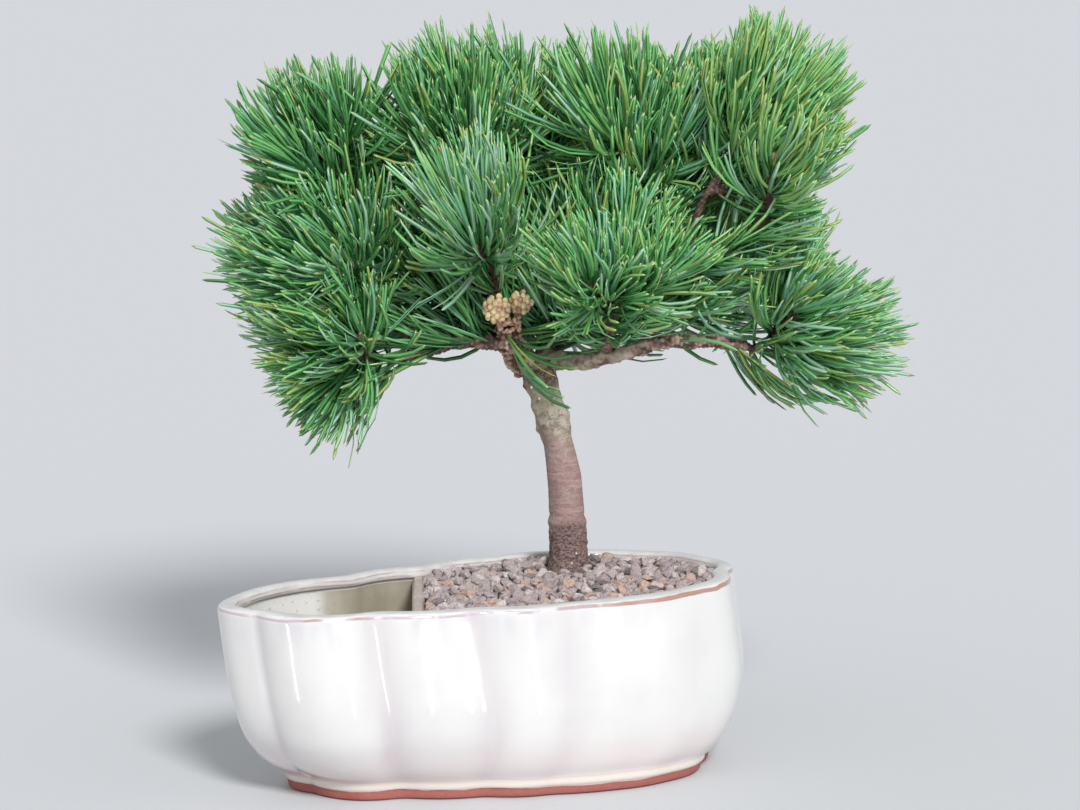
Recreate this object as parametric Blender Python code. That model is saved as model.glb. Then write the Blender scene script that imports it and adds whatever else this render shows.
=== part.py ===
"""Mugo pine bonsai in a lobed oval pot with a water basin at one end.

Lengths are millimetres here and metres in the scene. The origin is the centre of
the pot's flat underside, +Z is up, and the pot is long along X, basin at -X.
"""

import math
import random

import bmesh
import bpy
from mathutils import Matrix, Vector, noise

MM = 0.001
GAP = 0.3                    # clearance between touching pieces
GOLDEN = math.radians(137.508)

# Pot
POT_HEIGHT = 92.0
HALF_LENGTH = 131.0
HALF_WIDTH = 62.0
RIM_WIDTH = 8.5
LIP_DEPTH = 5.0
WALL = 6.0
SOIL_FLOOR = 16.0
BASIN_FLOOR = 24.0
SOIL_TOP = 88.0
DIVIDER_CENTRE = (-36.0, 0.0)
DIVIDER_TOP = 88.0
DIVIDER_THICKNESS = 6.0
DIVIDER_TURN = -23.0         # degrees from square across the pot
ARC_STEPS = 4                # straight steps in each lobe of the outline

# Each lobe of the rim starts at a cusp (x, y) and swells outward by the third value.
RIM_LOBES = (
    (-124, -20, 12), (-77, -45, 5), (-30, -56, 5), (12, -62, 4), (49, -62, 5),
    (85, -51, 9), (116, -17, 8), (124, 17, 6), (104, 44, 5), (70, 61, 6),
    (30, 62, 6), (-14, 53, 6), (-56, 45, 10), (-124, 19, 11),
)

# Pot wall from the foot to the rim: height, scale of the rim outline, shift along X, turn in degrees.
WALL_PROFILE = (
    (0.0, 0.785, 9.0, -8.0),
    (7.0, 0.797, 9.0, -8.0),
    (9.0, 0.815, 9.0, -7.0),
    (14.0, 0.875, 9.0, -5.0),
    (21.0, 0.925, 8.5, -3.0),
    (31.0, 0.970, 7.8, -1.0),
    (45.0, 0.998, 6.6, 0.0),
    (62.0, 1.003, 4.0, 0.0),
    (80.0, 1.002, 1.4, 0.0),
    (89.0, 1.000, 0.0, 0.0),
)
RIM_ROUND = 1.8

# Trunk: x, y, z and radius up to the fork
TRUNK = (
    (52.7, 24.1, 88.3, 10.8), (52.7, 24.1, 91.0, 10.0), (52.7, 24.3, 97.0, 9.1), (52.2, 24.6, 110.0, 8.9),
    (51.4, 24.7, 124.0, 8.3), (50.2, 24.4, 136.0, 8.1), (47.2, 24.3, 151.0, 7.1), (44.3, 24.8, 163.0, 7.9),
    (41.4, 25.4, 173.0, 7.4), (38.6, 26.2, 183.0, 7.9), (36.6, 27.0, 191.0, 8.4),
)
STUB = (
    (33.0, 27.2, 188.0, 8.3), (27.5, 27.0, 195.0, 8.0), (23.0, 26.5, 202.0, 7.0), (20.2, 26.0, 209.0, 6.4),
)

# Boughs, each starting inside the limb that bears it: name, points (x, y, z, radius)
BOUGHS = (
    ("bough_left", (
        (24, 27, 200, 3.4), (4, 38, 201, 2.9), (-8, 50, 196, 2.6), (-20, 60, 192, 2.4),
    )),
    ("bough_left_rise", (
        (-8, 50, 196, 2.3), (-18, 63, 206, 2.1), (-26, 71, 219, 1.9),
    )),
    ("bough_upper_left", (
        (36, 28, 186, 3.0), (18, 50, 207, 2.6), (-4, 68, 225, 2.3), (-24, 75, 243, 2.0),
    )),
    ("bough_top_left", (
        (37, 29, 188, 3.1), (33, 48, 207, 2.8), (27, 60, 226, 2.5), (24, 66, 243, 2.2),
    )),
    ("bough_right", (
        (42, 26, 192, 4.0), (52, 12, 192, 3.7), (61, 1, 195, 3.5), (72, -9, 199, 3.5),
        (83, -16, 203, 3.0), (97, -20, 203, 2.9), (113, -24, 202, 2.8), (122, -25, 200, 2.5),
    )),
    ("bough_right_rise", (
        (76, -12, 200, 2.9), (80, -12, 210, 2.7), (87, -17, 228, 2.5), (92, -23, 248, 2.3),
    )),
    ("bough_right_spur", (
        (87, -17, 228, 2.0), (98, -26, 238, 1.9), (108, -33, 247, 1.8),
    )),
    ("bough_centre_spur", (
        (61, 1, 195, 2.0), (59, -6, 203, 1.9), (56, -12, 211, 1.8),
    )),
    ("bough_crown", (
        (40, 27, 190, 3.4), (51, 30, 215, 3.0), (66, 22, 240, 2.6), (78, 14, 256, 2.3),
    )),
    ("bough_crown_right", (
        (66, 22, 240, 2.2), (84, 17, 252, 2.0), (99, 8, 266, 1.9),
    )),
    ("bough_crown_back", (
        (51, 30, 215, 2.3), (52, 47, 236, 2.1), (54, 56, 254, 1.9),
    )),
    ("bough_back_right", (
        (41, 28, 190, 2.8), (61, 38, 200, 2.5), (86, 38, 203, 2.2), (108, 37, 206, 2.0), (124, 35, 210, 1.8),
    )),
    ("bough_back_centre", (
        (61, 38, 200, 2.1), (63, 56, 212, 2.0), (65, 71, 225, 1.8),
    )),
    ("bough_back_left", (
        (29, 56, 219, 2.1), (13, 74, 223, 2.0), (-2, 88, 229, 1.8),
    )),
)

# Masses of foliage: name, the limb it grows on, points that its leading shoot follows after
# the limb's tip, side shoots, their tilt in degrees, blade length and turn of the first side shoot
MASSES = (
    ("foliage_lower_left", "bough_left", ((-36, 56, 193), (-56, 50, 194)), 2, 48, 54, 200),
    ("foliage_left", "bough_left_rise", ((-42, 69, 233), (-58, 67, 244)), 2, 50, 43, 20),
    ("foliage_upper_left", "bough_upper_left",
     ((-38, 76, 266), (-46, 75, 284), (-55, 75, 296)), 1, 45, 42, 100),
    ("foliage_top_left", "bough_top_left", ((19, 62, 274), (12, 58, 305)), 2, 46, 46, 73),
    ("foliage_front", "stub", ((18, 30, 221), (11, 21, 240), (1, 4, 257)), 1, 45, 60, 300),
    ("foliage_centre", "bough_centre_spur", ((53, -20, 220), (50, -30, 233)), 1, 55, 48, 250),
    ("foliage_top_centre", "bough_crown", ((83, 10, 275), (79, 16, 302)), 1, 50, 48, 10),
    ("foliage_top_middle", "bough_crown_right", ((110, 0, 282), (117, -1, 306)), 0, 45, 48, 0),
    ("foliage_top_right", "bough_right_rise",
     ((98, -28, 272), (115, -28, 289), (142, -27, 307)), 2, 45, 47, 300),
    ("foliage_right", "bough_right_spur", ((122, -44, 262), (134, -54, 277)), 1, 50, 50, 330),
    ("foliage_lower_right", "bough_right", ((134, -30, 203), (147, -36, 214)), 2, 55, 54, 200),
    ("foliage_back_right", "bough_back_right", ((140, 36, 224), (154, 38, 240)), 1, 50, 50, 60),
    ("foliage_back_left", "bough_back_left", ((-14, 106, 242), (-24, 120, 254)), 2, 50, 52, 90),
    ("foliage_back_centre", "bough_back_centre", ((65, 90, 244), (63, 104, 260)), 1, 50, 52, 40),
    ("foliage_back_top", "bough_crown_back", ((54, 66, 282), (52, 72, 304)), 1, 50, 48, 70),
)
SIDE_SHOOT = 33.0            # length of a side shoot
NEEDLED = 34.0               # length of a shoot that bears blades
BLADES = 5                   # toothed blades of one shoot, each a flat spray of needles
TEETH = 4                    # needles of one blade
BLADE = 1.1                  # thickness of a blade
SUNK = 0.8                   # how far a blade's root passes the middle of its shoot
VALLEY = 0.55                # share of its length where two teeth part
FIRST_TILT = 80.0            # degrees from the shoot, at its foot and at its tip
LAST_TILT = 12.0
CORE_ROOT = 1.8
CORE_MIDDLE = 2.6
CORE_TIP = 1.1
SPACE = 2.2                  # how much nearer its own shoots a blade stays than another mass's

# Pollen cones: name, centre, foot of the stalk on the stub's top, radius of the cluster, bud radius, buds
CONES = (
    ("pollen_cones_left", (13.0, 17.5, 217.0), (16.3, 22.3, 208.1), 3.9, 2.1, 10),
    ("pollen_cones_right", (25.5, 19.0, 218.5), (23.6, 22.3, 210.8), 3.2, 2.0, 8),
)
STALK = 1.2

COLOURS = {
    "pot": ((0.83, 0.81, 0.76), 0.18),
    "soil": ((0.36, 0.31, 0.30), 0.90),
    "trunk": ((0.20, 0.14, 0.12), 0.85),
    "stub": ((0.24, 0.13, 0.09), 0.85),
    "bough": ((0.17, 0.11, 0.09), 0.85),
    "foliage": ((0.10, 0.27, 0.09), 0.55),
    "pollen": ((0.66, 0.50, 0.27), 0.70),
}


def clear_scene():
    for obj in list(bpy.data.objects):
        bpy.data.objects.remove(obj, do_unlink=True)


def new_collection(name, hidden=False):
    collection = bpy.data.collections.new(name)
    bpy.context.scene.collection.children.link(collection)
    collection.hide_render = hidden
    return collection


def material(kind):
    found = bpy.data.materials.get(kind)
    if found:
        return found
    colour, roughness = COLOURS[kind]
    made = bpy.data.materials.new(kind)
    made.use_nodes = True
    shader = made.node_tree.nodes["Principled BSDF"]
    shader.inputs["Base Color"].default_value = (*colour, 1.0)
    shader.inputs["Roughness"].default_value = roughness
    shader.inputs["Metallic"].default_value = 0.0
    return made


def object_of(bm, name, kind, collection):
    """An object in metres from a bmesh in millimetres."""
    bmesh.ops.scale(bm, vec=(MM, MM, MM), verts=bm.verts)
    bmesh.ops.recalc_face_normals(bm, faces=bm.faces)
    mesh = bpy.data.meshes.new(name)
    bm.to_mesh(mesh)
    bm.free()
    mesh.materials.append(material(kind))
    obj = bpy.data.objects.new(name, mesh)
    collection.objects.link(obj)
    return obj


def apply_modifiers(obj):
    graph = bpy.context.evaluated_depsgraph_get()
    mesh = bpy.data.meshes.new_from_object(obj.evaluated_get(graph))
    obj.modifiers.clear()
    obj.data = mesh


def cut(obj, cutters):
    """Takes the cutters out of the object and removes them."""
    for cutter in cutters:
        modifier = obj.modifiers.new("cut", "BOOLEAN")
        modifier.operation = "DIFFERENCE"
        modifier.solver = "EXACT"
        modifier.object = cutter
    apply_modifiers(obj)
    for cutter in cutters:
        bpy.data.objects.remove(cutter, do_unlink=True)


def keep_main_shell(obj):
    """Drops loose scraps and the shells of sealed hollows."""
    bm = bmesh.new()
    bm.from_mesh(obj.data)
    left = set(bm.verts)
    shells = []
    while left:
        stack = [left.pop()]
        shell = set(stack)
        while stack:
            for edge in stack.pop().link_edges:
                for vert in edge.verts:
                    if vert in left:
                        left.remove(vert)
                        shell.add(vert)
                        stack.append(vert)
        shells.append(shell)
    shells.sort(key=len)
    for shell in shells[:-1]:
        bmesh.ops.delete(bm, geom=list(shell), context="VERTS")
    bm.to_mesh(obj.data)
    bm.free()


def join(core, pieces):
    """Fuses a collection's objects into the core and removes them."""
    modifier = core.modifiers.new("join", "BOOLEAN")
    modifier.operation = "UNION"
    modifier.solver = "MANIFOLD"
    modifier.operand_type = "COLLECTION"
    modifier.collection = pieces
    apply_modifiers(core)
    for obj in list(pieces.objects):
        bpy.data.objects.remove(obj, do_unlink=True)
    keep_main_shell(core)
    return core


# Pot

def rim_outline():
    """The lobed outline of the rim, each lobe a shallow arc between two cusps."""
    points = []
    for index, (x, y, swell) in enumerate(RIM_LOBES):
        start = Vector((x, y))
        end = Vector(RIM_LOBES[(index + 1) % len(RIM_LOBES)][:2])
        outward = Vector((end.y - start.y, start.x - end.x)).normalized()
        for step in range(ARC_STEPS):
            share = step / ARC_STEPS
            bulge = swell * math.sin(math.pi * share) ** 0.8
            points.append(start.lerp(end, share) + outward * bulge)
    return points


def profile_at(height):
    """Scale, shift and turn of the wall at a height."""
    if height >= WALL_PROFILE[-1][0]:
        return WALL_PROFILE[-1][1:]
    for low, high in zip(WALL_PROFILE, WALL_PROFILE[1:]):
        if height <= high[0]:
            share = (height - low[0]) / (high[0] - low[0])
            return tuple(a + (b - a) * share for a, b in zip(low[1:], high[1:]))
    return WALL_PROFILE[-1][1:]


def ring(height, inset=0.0):
    """The pot's outline at a height, drawn in by the inset."""
    scale, shift, turn = profile_at(height)
    turn = math.radians(turn)
    narrow_x = scale - inset / HALF_LENGTH
    narrow_y = scale - inset / HALF_WIDTH
    points = []
    for point in rim_outline():
        x = point.x * narrow_x
        y = point.y * narrow_y
        points.append((x * math.cos(turn) - y * math.sin(turn) + shift,
                       x * math.sin(turn) + y * math.cos(turn), height))
    return points


def loft(rings):
    """A closed bmesh through rings of equal length, with flat ends."""
    bm = bmesh.new()
    rows = [[bm.verts.new(point) for point in points] for points in rings]
    for low, high in zip(rows, rows[1:]):
        for index in range(len(low)):
            after = (index + 1) % len(low)
            bm.faces.new((low[index], low[after], high[after], high[index]))
    bm.faces.new(rows[0][::-1])
    bm.faces.new(rows[-1])
    return bm


def keep_side(bm, offset, side):
    """Keeps what lies beyond the divider's middle plane by the offset, on the side -1 or 1 along X."""
    turn = math.radians(DIVIDER_TURN)
    normal = Vector((math.cos(turn), math.sin(turn), 0.0)) * side
    centre = Vector((*DIVIDER_CENTRE, 0.0)) + normal * offset
    geometry = bm.verts[:] + bm.edges[:] + bm.faces[:]
    bmesh.ops.bisect_plane(bm, geom=geometry, plane_co=centre, plane_no=normal, clear_inner=True)
    bmesh.ops.holes_fill(bm, edges=[edge for edge in bm.edges if edge.is_boundary])


def cavity(floor, top, inset):
    heights = [floor] + [row[0] for row in WALL_PROFILE if floor + 2 < row[0] < top - 2] + [top]
    return [ring(height, inset) for height in heights]


def make_pot(collection, cutters):
    rings = [ring(row[0]) for row in WALL_PROFILE]
    rings.append(ring(POT_HEIGHT - RIM_ROUND * 0.3, RIM_ROUND * 0.4))
    rings.append(ring(POT_HEIGHT, RIM_ROUND))
    pot = object_of(loft(rings), "pot", "pot", collection)
    soil = loft(cavity(SOIL_FLOOR, POT_HEIGHT + 1, WALL + 1))
    keep_side(soil, DIVIDER_THICKNESS / 2, 1)
    lip = POT_HEIGHT - LIP_DEPTH
    basin_rings = cavity(BASIN_FLOOR, lip, WALL)
    basin_rings.append(ring(lip + 1, RIM_WIDTH))
    basin_rings.append(ring(POT_HEIGHT + 1, RIM_WIDTH))
    basin = loft(basin_rings)
    keep_side(basin, DIVIDER_THICKNESS / 2, -1)
    above = loft([ring(DIVIDER_TOP, RIM_WIDTH), ring(POT_HEIGHT + 2, RIM_WIDTH)])
    soil = object_of(soil, "soil_cavity", "pot", cutters)
    basin = object_of(basin, "basin_cavity", "pot", cutters)
    cut(pot, [soil, basin])
    cut(pot, [object_of(above, "above_divider", "pot", cutters)])
    return pot


def make_soil(collection):
    soil = loft(cavity(SOIL_FLOOR + GAP, SOIL_TOP, WALL + 1 + GAP))
    keep_side(soil, DIVIDER_THICKNESS / 2 + GAP, 1)
    return object_of(soil, "soil", "soil", collection)


# Limbs

def smooth_path(points, steps):
    """Points with a radius along a curve through the given ones."""
    points = [Vector(point) for point in points]
    ends = [points[0] * 2 - points[1]] + points + [points[-1] * 2 - points[-2]]
    path = []
    for index in range(1, len(ends) - 2):
        a, b, c, d = ends[index - 1:index + 3]
        for step in range(steps):
            t = step / steps
            path.append(0.5 * (2 * b + (c - a) * t + (2 * a - 5 * b + 4 * c - d) * t * t
                               + (3 * b - a - 3 * c + d) * t ** 3))
    path.append(points[-1])
    return path


def tube(path, sides, swell=0.0):
    """A capped bmesh tube along points with a radius, its rings square to the path."""
    bm = bmesh.new()
    centres = [Vector(point[:3]) for point in path]
    rows = []
    across = None
    for index, centre in enumerate(centres):
        ahead = centres[min(index + 1, len(centres) - 1)] - centres[max(index - 1, 0)]
        ahead.normalize()
        if across is None:
            across = ahead.orthogonal().normalized()
        across = (across - ahead * across.dot(ahead)).normalized()
        side = ahead.cross(across)
        radius = path[index][3] + swell
        row = []
        for corner in range(sides):
            angle = 2 * math.pi * corner / sides
            row.append(bm.verts.new(centre + (across * math.cos(angle) + side * math.sin(angle)) * radius))
        rows.append(row)
    for low, high in zip(rows, rows[1:]):
        for corner in range(sides):
            after = (corner + 1) % sides
            bm.faces.new((low[corner], low[after], high[after], high[corner]))
    bm.faces.new(rows[0][::-1])
    bm.faces.new(rows[-1])
    return bm


def roughen(bm, amount, size):
    """Moves all but the end rings in and out by a smooth noise."""
    ends = {vert for face in bm.faces if len(face.verts) > 4 for vert in face.verts}
    bm.normal_update()
    for vert in bm.verts:
        if vert not in ends:
            vert.co += vert.normal * amount * noise.noise(vert.co / size)


def limb_paths():
    paths = {"trunk": smooth_path([Vector(point) for point in TRUNK], 2), "stub": smooth_path(STUB, 2)}
    for name, points in BOUGHS:
        paths[name] = smooth_path(points, 2)
    return paths


def make_trunk(paths, collection):
    bm = tube(paths["trunk"], 14)
    lowest = TRUNK[0][2]
    for vert in bm.verts:
        if vert.co.z < lowest + 1:
            vert.co.z = lowest
    roughen(bm, 0.7, 9.0)
    return object_of(bm, "trunk", "trunk", collection)


def meets(path, other):
    """Whether two limbs come within touch of each other."""
    line = [Vector(point[:3]) for point in other]
    reach = max(point[3] for point in path) + max(point[3] for point in other) + 1
    return any(distance_to(Vector(point[:3]), line) < reach for point in path)


def make_limb(name, paths, built, collection, cutters, kind, sides):
    """A tapering limb, cut clear of the limbs already built, its parent among them."""
    limb = object_of(tube(paths[name], sides), name, kind, collection)
    clear = []
    for other in built:
        if meets(paths[name], paths[other]):
            swell = GAP + (0.8 if other == "trunk" else 0.1)
            clear.append(object_of(tube(paths[other], 14, swell), "clear", kind, cutters))
    cut(limb, clear)
    keep_main_shell(limb)
    built.append(name)
    return limb


# Foliage

def leading_shoot(limb, points, paths):
    """The path of a mass's stem, from just past its limb's tip."""
    tip = Vector(paths[limb][-1][:3])
    ahead = (tip - Vector(paths[limb][-2][:3])).normalized()
    return [tip + ahead * GAP, tip + ahead * 4.0] + [Vector(point) for point in points]


def point_along(path, share):
    """The point and direction at a share of a path's length."""
    lengths = [(b - a).length for a, b in zip(path, path[1:])]
    left = share * sum(lengths)
    for (a, b), length in zip(zip(path, path[1:]), lengths):
        if left <= length:
            return a.lerp(b, left / length), (b - a).normalized()
        left -= length
    return path[-1].copy(), (path[-1] - path[-2]).normalized()


def tilted(direction, tilt, turn):
    """A direction tilted by an angle from another, at a turn round it."""
    across = direction.cross(Vector((0.0, 0.0, 1.0)))
    if across.length < 0.1:
        across = direction.cross(Vector((1.0, 0.0, 0.0)))
    across.normalize()
    over = direction.cross(across)
    side = across * math.cos(turn) + over * math.sin(turn)
    return (direction * math.cos(tilt) + side * math.sin(tilt)).normalized()


def shoots_of(mass, paths):
    """The leading shoot and the side shoots of a mass, as lists of points."""
    _, limb, points, sides, tilt, _, turn = mass
    lead = leading_shoot(limb, points, paths)
    shoots = [lead]
    for index in range(sides):
        foot, direction = point_along(lead, 0.55 - 0.2 * index)
        heading = tilted(direction, math.radians(tilt), math.radians(turn) + index * GOLDEN)
        middle = foot + heading * SIDE_SHOOT * 0.6
        bent = (heading + Vector((0.0, 0.0, 0.35))).normalized()
        shoots.append([foot, middle, middle + bent * SIDE_SHOOT * 0.4])
    return shoots


def distance_to(point, path):
    """How far a point is from a chain of straight stretches."""
    best = 1e9
    for a, b in zip(path, path[1:]):
        along = b - a
        share = max(0.0, min(1.0, (point - a).dot(along) / along.length_squared))
        best = min(best, (a + along * share - point).length)
    return best


def fits(root, tip, own, others, limbs):
    """Whether a straight stretch keeps to its mass's space and clear of the limbs."""
    for step in range(1, 7):
        point = root.lerp(tip, step / 6)
        nearest = min(distance_to(point, path) for path in own)
        if any(distance_to(point, path) < nearest + SPACE for path in others):
            return False
        if any(distance_to(point, path) < radius for path, radius in limbs):
            return False
    return True


def has_room(shoot, own, others, limbs):
    """Whether a side shoot keeps to its mass's space and clear of the limbs."""
    return all(fits(a, b, own, others, limbs) for a, b in zip(shoot[1:], shoot[2:]))


def blade_teeth(shoot, length, turn, rng):
    """Root and tip of each tooth of one blade, a flat half fan on one side of the shoot."""
    total = sum((b - a).length for a, b in zip(shoot, shoot[1:]))
    first = max(0.1, 1 - NEEDLED / total)
    foot = point_along(shoot, first)[0]
    top = point_along(shoot, 0.98)[0]
    direction = (top - foot).normalized()
    sunk = tilted(direction, math.pi / 2, turn) * -SUNK
    for index in range(TEETH):
        share = index / (TEETH - 1)
        tilt = FIRST_TILT + (LAST_TILT - FIRST_TILT) * share + rng.uniform(-4, 4)
        root = foot.lerp(top, share) + sunk
        yield root, tilted(direction, math.radians(tilt), turn), length * rng.uniform(0.9, 1.06)


def blade_outline(shoot, length, turn, rng, own, others, limbs):
    """The toothed outline of a blade, or nothing where fewer than two teeth fit."""
    teeth = []
    for root, heading, reach in blade_teeth(shoot, length, turn, rng):
        for share in (1.0, 0.85, 0.7, 0.55):
            tip = root + heading * reach * share
            if fits(root, tip, own, others, limbs):
                teeth.append((root, tip))
                break
    if len(teeth) < 2:
        return None
    outline = [teeth[0][0]]
    for (root, tip), (next_root, next_tip) in zip(teeth, teeth[1:]):
        valley = (root.lerp(tip, VALLEY) + next_root.lerp(next_tip, VALLEY)) / 2
        outline += [tip, valley]
    return outline + [teeth[-1][1], teeth[-1][0]]


def blade_object(outline, collection):
    """A thin plate with a flat outline."""
    normal = (outline[1] - outline[0]).cross(outline[-1] - outline[0])
    for point in outline[2:-1]:
        normal += (outline[1] - outline[0]).cross(point - outline[0]) * 0.01
    normal.normalize()
    centre = outline[0]
    flat = [point - normal * (point - centre).dot(normal) for point in outline]
    bm = bmesh.new()
    under = [bm.verts.new(point - normal * BLADE / 2) for point in flat]
    over = [bm.verts.new(point + normal * BLADE / 2) for point in flat]
    bm.faces.new(under[::-1])
    bm.faces.new(over)
    for index in range(len(flat)):
        after = (index + 1) % len(flat)
        bm.faces.new((under[index], under[after], over[after], over[index]))
    return object_of(bm, "blade", "foliage", collection)


def core_path(shoot):
    """A shoot's path with the radius of its slim core."""
    radii = [CORE_ROOT] + [CORE_MIDDLE] * (len(shoot) - 2) + [CORE_TIP]
    return [(*point, radius) for point, radius in zip(shoot, radii)]


def make_mass(mass, own, others, limbs, collection, cutters):
    """One mass: its shoots' cores and the blades that stand out of them, joined in one solid."""
    name, length = mass[0], mass[5]
    rng = random.Random(name)
    spray = bpy.data.collections.new(name + "_spray")
    cutters.children.link(spray)
    core = object_of(tube(core_path(own[0]), 5), name, "foliage", collection)
    own = [own[0]] + [shoot for shoot in own[1:] if has_room(shoot, own, others, limbs)]
    for shoot in own[1:]:
        object_of(tube(core_path(shoot), 5), "shoot", "foliage", spray)
    for shoot in own:
        start = rng.uniform(0, 2 * math.pi)
        for index in range(BLADES):
            turn = start + index * 2 * math.pi / BLADES
            outline = blade_outline(shoot, length, turn, rng, own, others, limbs)
            if outline:
                blade_object(outline, spray)
    return join(core, spray)


def make_foliage(paths, collection, cutters):
    shoots = {mass[0]: shoots_of(mass, paths) for mass in MASSES}
    limbs = []
    for name, path in paths.items():
        line = [Vector(point[:3]) for point in path]
        limbs.append((line, max(point[3] for point in path) + BLADE + 2 * GAP))
    for _, centre, _, radius, bud, _ in CONES:
        middle = Vector(centre)
        limbs.append(([middle, middle + Vector((0, 0, 0.5))], radius + bud + CORE_MIDDLE + GAP))
    for mass in MASSES:
        others = [path for name, group in shoots.items() if name != mass[0] for path in group]
        make_mass(mass, shoots[mass[0]], others, limbs, collection, cutters)


# Pollen cones

def make_cones(name, centre, foot, radius, bud, count, collection, cutters):
    """A cluster of small round buds on a core, with a stalk down to the stub."""
    group = bpy.data.collections.new(name + "_buds")
    cutters.children.link(group)
    centre = Vector(centre)
    stalk = [(*centre, STALK), (*foot, STALK)]
    object_of(tube(stalk, 6), "stalk", "pollen", group)
    bm = bmesh.new()
    bmesh.ops.create_icosphere(bm, subdivisions=2, radius=radius, matrix=Matrix.Translation(centre))
    core = object_of(bm, name, "pollen", collection)
    for index in range(count):
        height = 1 - 2 * (index + 0.5) / count
        turn = index * GOLDEN
        flat = math.sqrt(1 - height * height)
        place = centre + Vector((math.cos(turn) * flat, math.sin(turn) * flat, height)) * radius
        bm = bmesh.new()
        spin = Matrix.Rotation(turn, 4, "Z")
        bmesh.ops.create_icosphere(bm, subdivisions=1, radius=bud, matrix=Matrix.Translation(place) @ spin)
        object_of(bm, "bud", "pollen", group)
    return join(core, group)


def main():
    clear_scene()
    parts = new_collection("mugo_pine_bonsai")
    cutters = new_collection("cutters", hidden=True)
    make_pot(parts, cutters)
    make_soil(parts)
    paths = limb_paths()
    make_trunk(paths, parts)
    built = ["trunk"]
    make_limb("stub", paths, built, parts, cutters, "stub", 12)
    for name, _ in BOUGHS:
        make_limb(name, paths, built, parts, cutters, "bough", 7)
    make_foliage(paths, parts, cutters)
    for cones in CONES:
        make_cones(*cones, parts, cutters)


main()
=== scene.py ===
"""The mugo pine bonsai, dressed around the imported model.

Lengths in the tables are millimetres and become metres in the meshes. The origin is
the centre of the pot's underside, +Z is up, and the basin's end of the pot is at -X.
"""

import math
import random

import bmesh
import bpy
import numpy as np
from mathutils import Matrix, Vector, noise


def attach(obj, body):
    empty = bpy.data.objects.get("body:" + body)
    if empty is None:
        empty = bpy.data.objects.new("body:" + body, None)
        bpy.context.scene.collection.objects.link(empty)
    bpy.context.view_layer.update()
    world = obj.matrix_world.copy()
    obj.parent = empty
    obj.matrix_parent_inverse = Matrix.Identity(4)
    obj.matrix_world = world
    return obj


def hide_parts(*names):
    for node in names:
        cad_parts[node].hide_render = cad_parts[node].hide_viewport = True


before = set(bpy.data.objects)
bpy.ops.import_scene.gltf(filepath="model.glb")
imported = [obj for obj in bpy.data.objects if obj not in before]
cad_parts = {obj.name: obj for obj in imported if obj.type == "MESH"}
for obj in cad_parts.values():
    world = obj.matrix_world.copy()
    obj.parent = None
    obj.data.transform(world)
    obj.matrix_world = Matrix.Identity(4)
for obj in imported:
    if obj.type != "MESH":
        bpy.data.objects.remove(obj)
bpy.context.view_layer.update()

MM = 0.001
GAP = 0.3
GOLDEN = math.radians(137.508)
FULL_TURN = 6.283
UP = np.array((0.0, 0.0, 1.0))

# Pot, as in the source
HALF_LENGTH = 131.0
HALF_WIDTH = 62.0
WALL = 6.0
BASIN_FLOOR = 24.0
DIVIDER_CENTRE = np.array((-36.0, 0.0))
DIVIDER_HALF = 3.0           # half its thickness
DIVIDER_TURN = math.radians(-23.0)
DIVIDER_NORMAL = np.array((math.cos(DIVIDER_TURN), math.sin(DIVIDER_TURN)))
DIVIDER_ALONG = np.array((-DIVIDER_NORMAL[1], DIVIDER_NORMAL[0]))

# The rim's lobes: the valley where each starts, and how far it swells
RIM_LOBES = (
    (-124, -20, 12), (-77, -45, 5), (-30, -56, 5), (12, -62, 4), (49, -62, 5),
    (85, -51, 9), (116, -17, 8), (124, 17, 6), (104, 44, 5), (70, 61, 6),
    (30, 62, 6), (-14, 53, 6), (-56, 45, 10), (-124, 19, 11),
)
# The wall: height, scale of the rim's outline, shift along X, turn in degrees
WALL_PROFILE = (
    (0.0, 0.785, 9.0, -8.0), (7.0, 0.797, 9.0, -8.0), (9.0, 0.815, 9.0, -7.0),
    (14.0, 0.875, 9.0, -5.0), (21.0, 0.925, 8.5, -3.0), (31.0, 0.970, 7.8, -1.0),
    (45.0, 0.998, 6.6, 0.0), (62.0, 1.003, 4.0, 0.0), (80.0, 1.002, 1.4, 0.0),
    (89.0, 1.000, 0.0, 0.0),
)
ARC_STEPS = 28
OUTLINE_POINTS = 420
VALLEY_SOFTNESS = 4.6        # how far a valley between lobes is rounded
CREASE_SOFTNESS = 1.3        # the same at the crease of the basin's near corner
CREASE_REACH = 14.0
FRONT_SOFTNESS = 11.0        # the same on the right half of the near wall
FULL_VALLEY = 1.6            # the bend that counts as a full valley

# The pot's section from the underside over the thick end of the glaze: height, inset
FOOT_SECTION = (
    (0.0, 1.2), (0.25, 0.5), (0.9, 0.05), (2.6, 0.0), (4.0, 0.0), (4.4, -0.15),
    (4.9, -0.8), (5.7, -1.15), (6.8, -1.0), (8.2, -0.5), (9.8, -0.1),
)
WALL_HEIGHTS = np.arange(11.5, 88.6, 1.9)
RIM_EDGE = ((89.0, 0.0), (89.9, 0.15), (90.7, 0.55))
# Over the rim's top to the underside of its lip
RIM_TOP = (
    (91.4, 1.4), (91.85, 2.6), (92.0, 4.2), (92.0, 5.7), (91.85, 7.0), (91.45, 7.9), (90.7, 8.5),
    (89.6, 8.8), (88.4, 8.8), (87.6, 8.5), (87.15, 7.9), (87.0, 7.0), (86.6, 6.3),
)
INNER_HEIGHTS = np.arange(85.5, 33.0, -3.5)
BASIN_CURVE = ((30.5, 6.6), (28.0, 8.0), (26.0, 10.5), (24.8, 14.0), (BASIN_FLOOR, 20.0))

# The divider's section: share of its half thickness, height
DIVIDER_SECTION = (
    (-1, 23.0), (-1, 40.0), (-1, 60.0), (-1, 84.5), (-0.8, 86.6), (-0.35, 87.7),
    (0.35, 87.7), (0.8, 86.6), (1, 84.5), (1, 60.0), (1, 40.0), (1, 23.0),
)
DIVIDER_STEPS = 40

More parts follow.
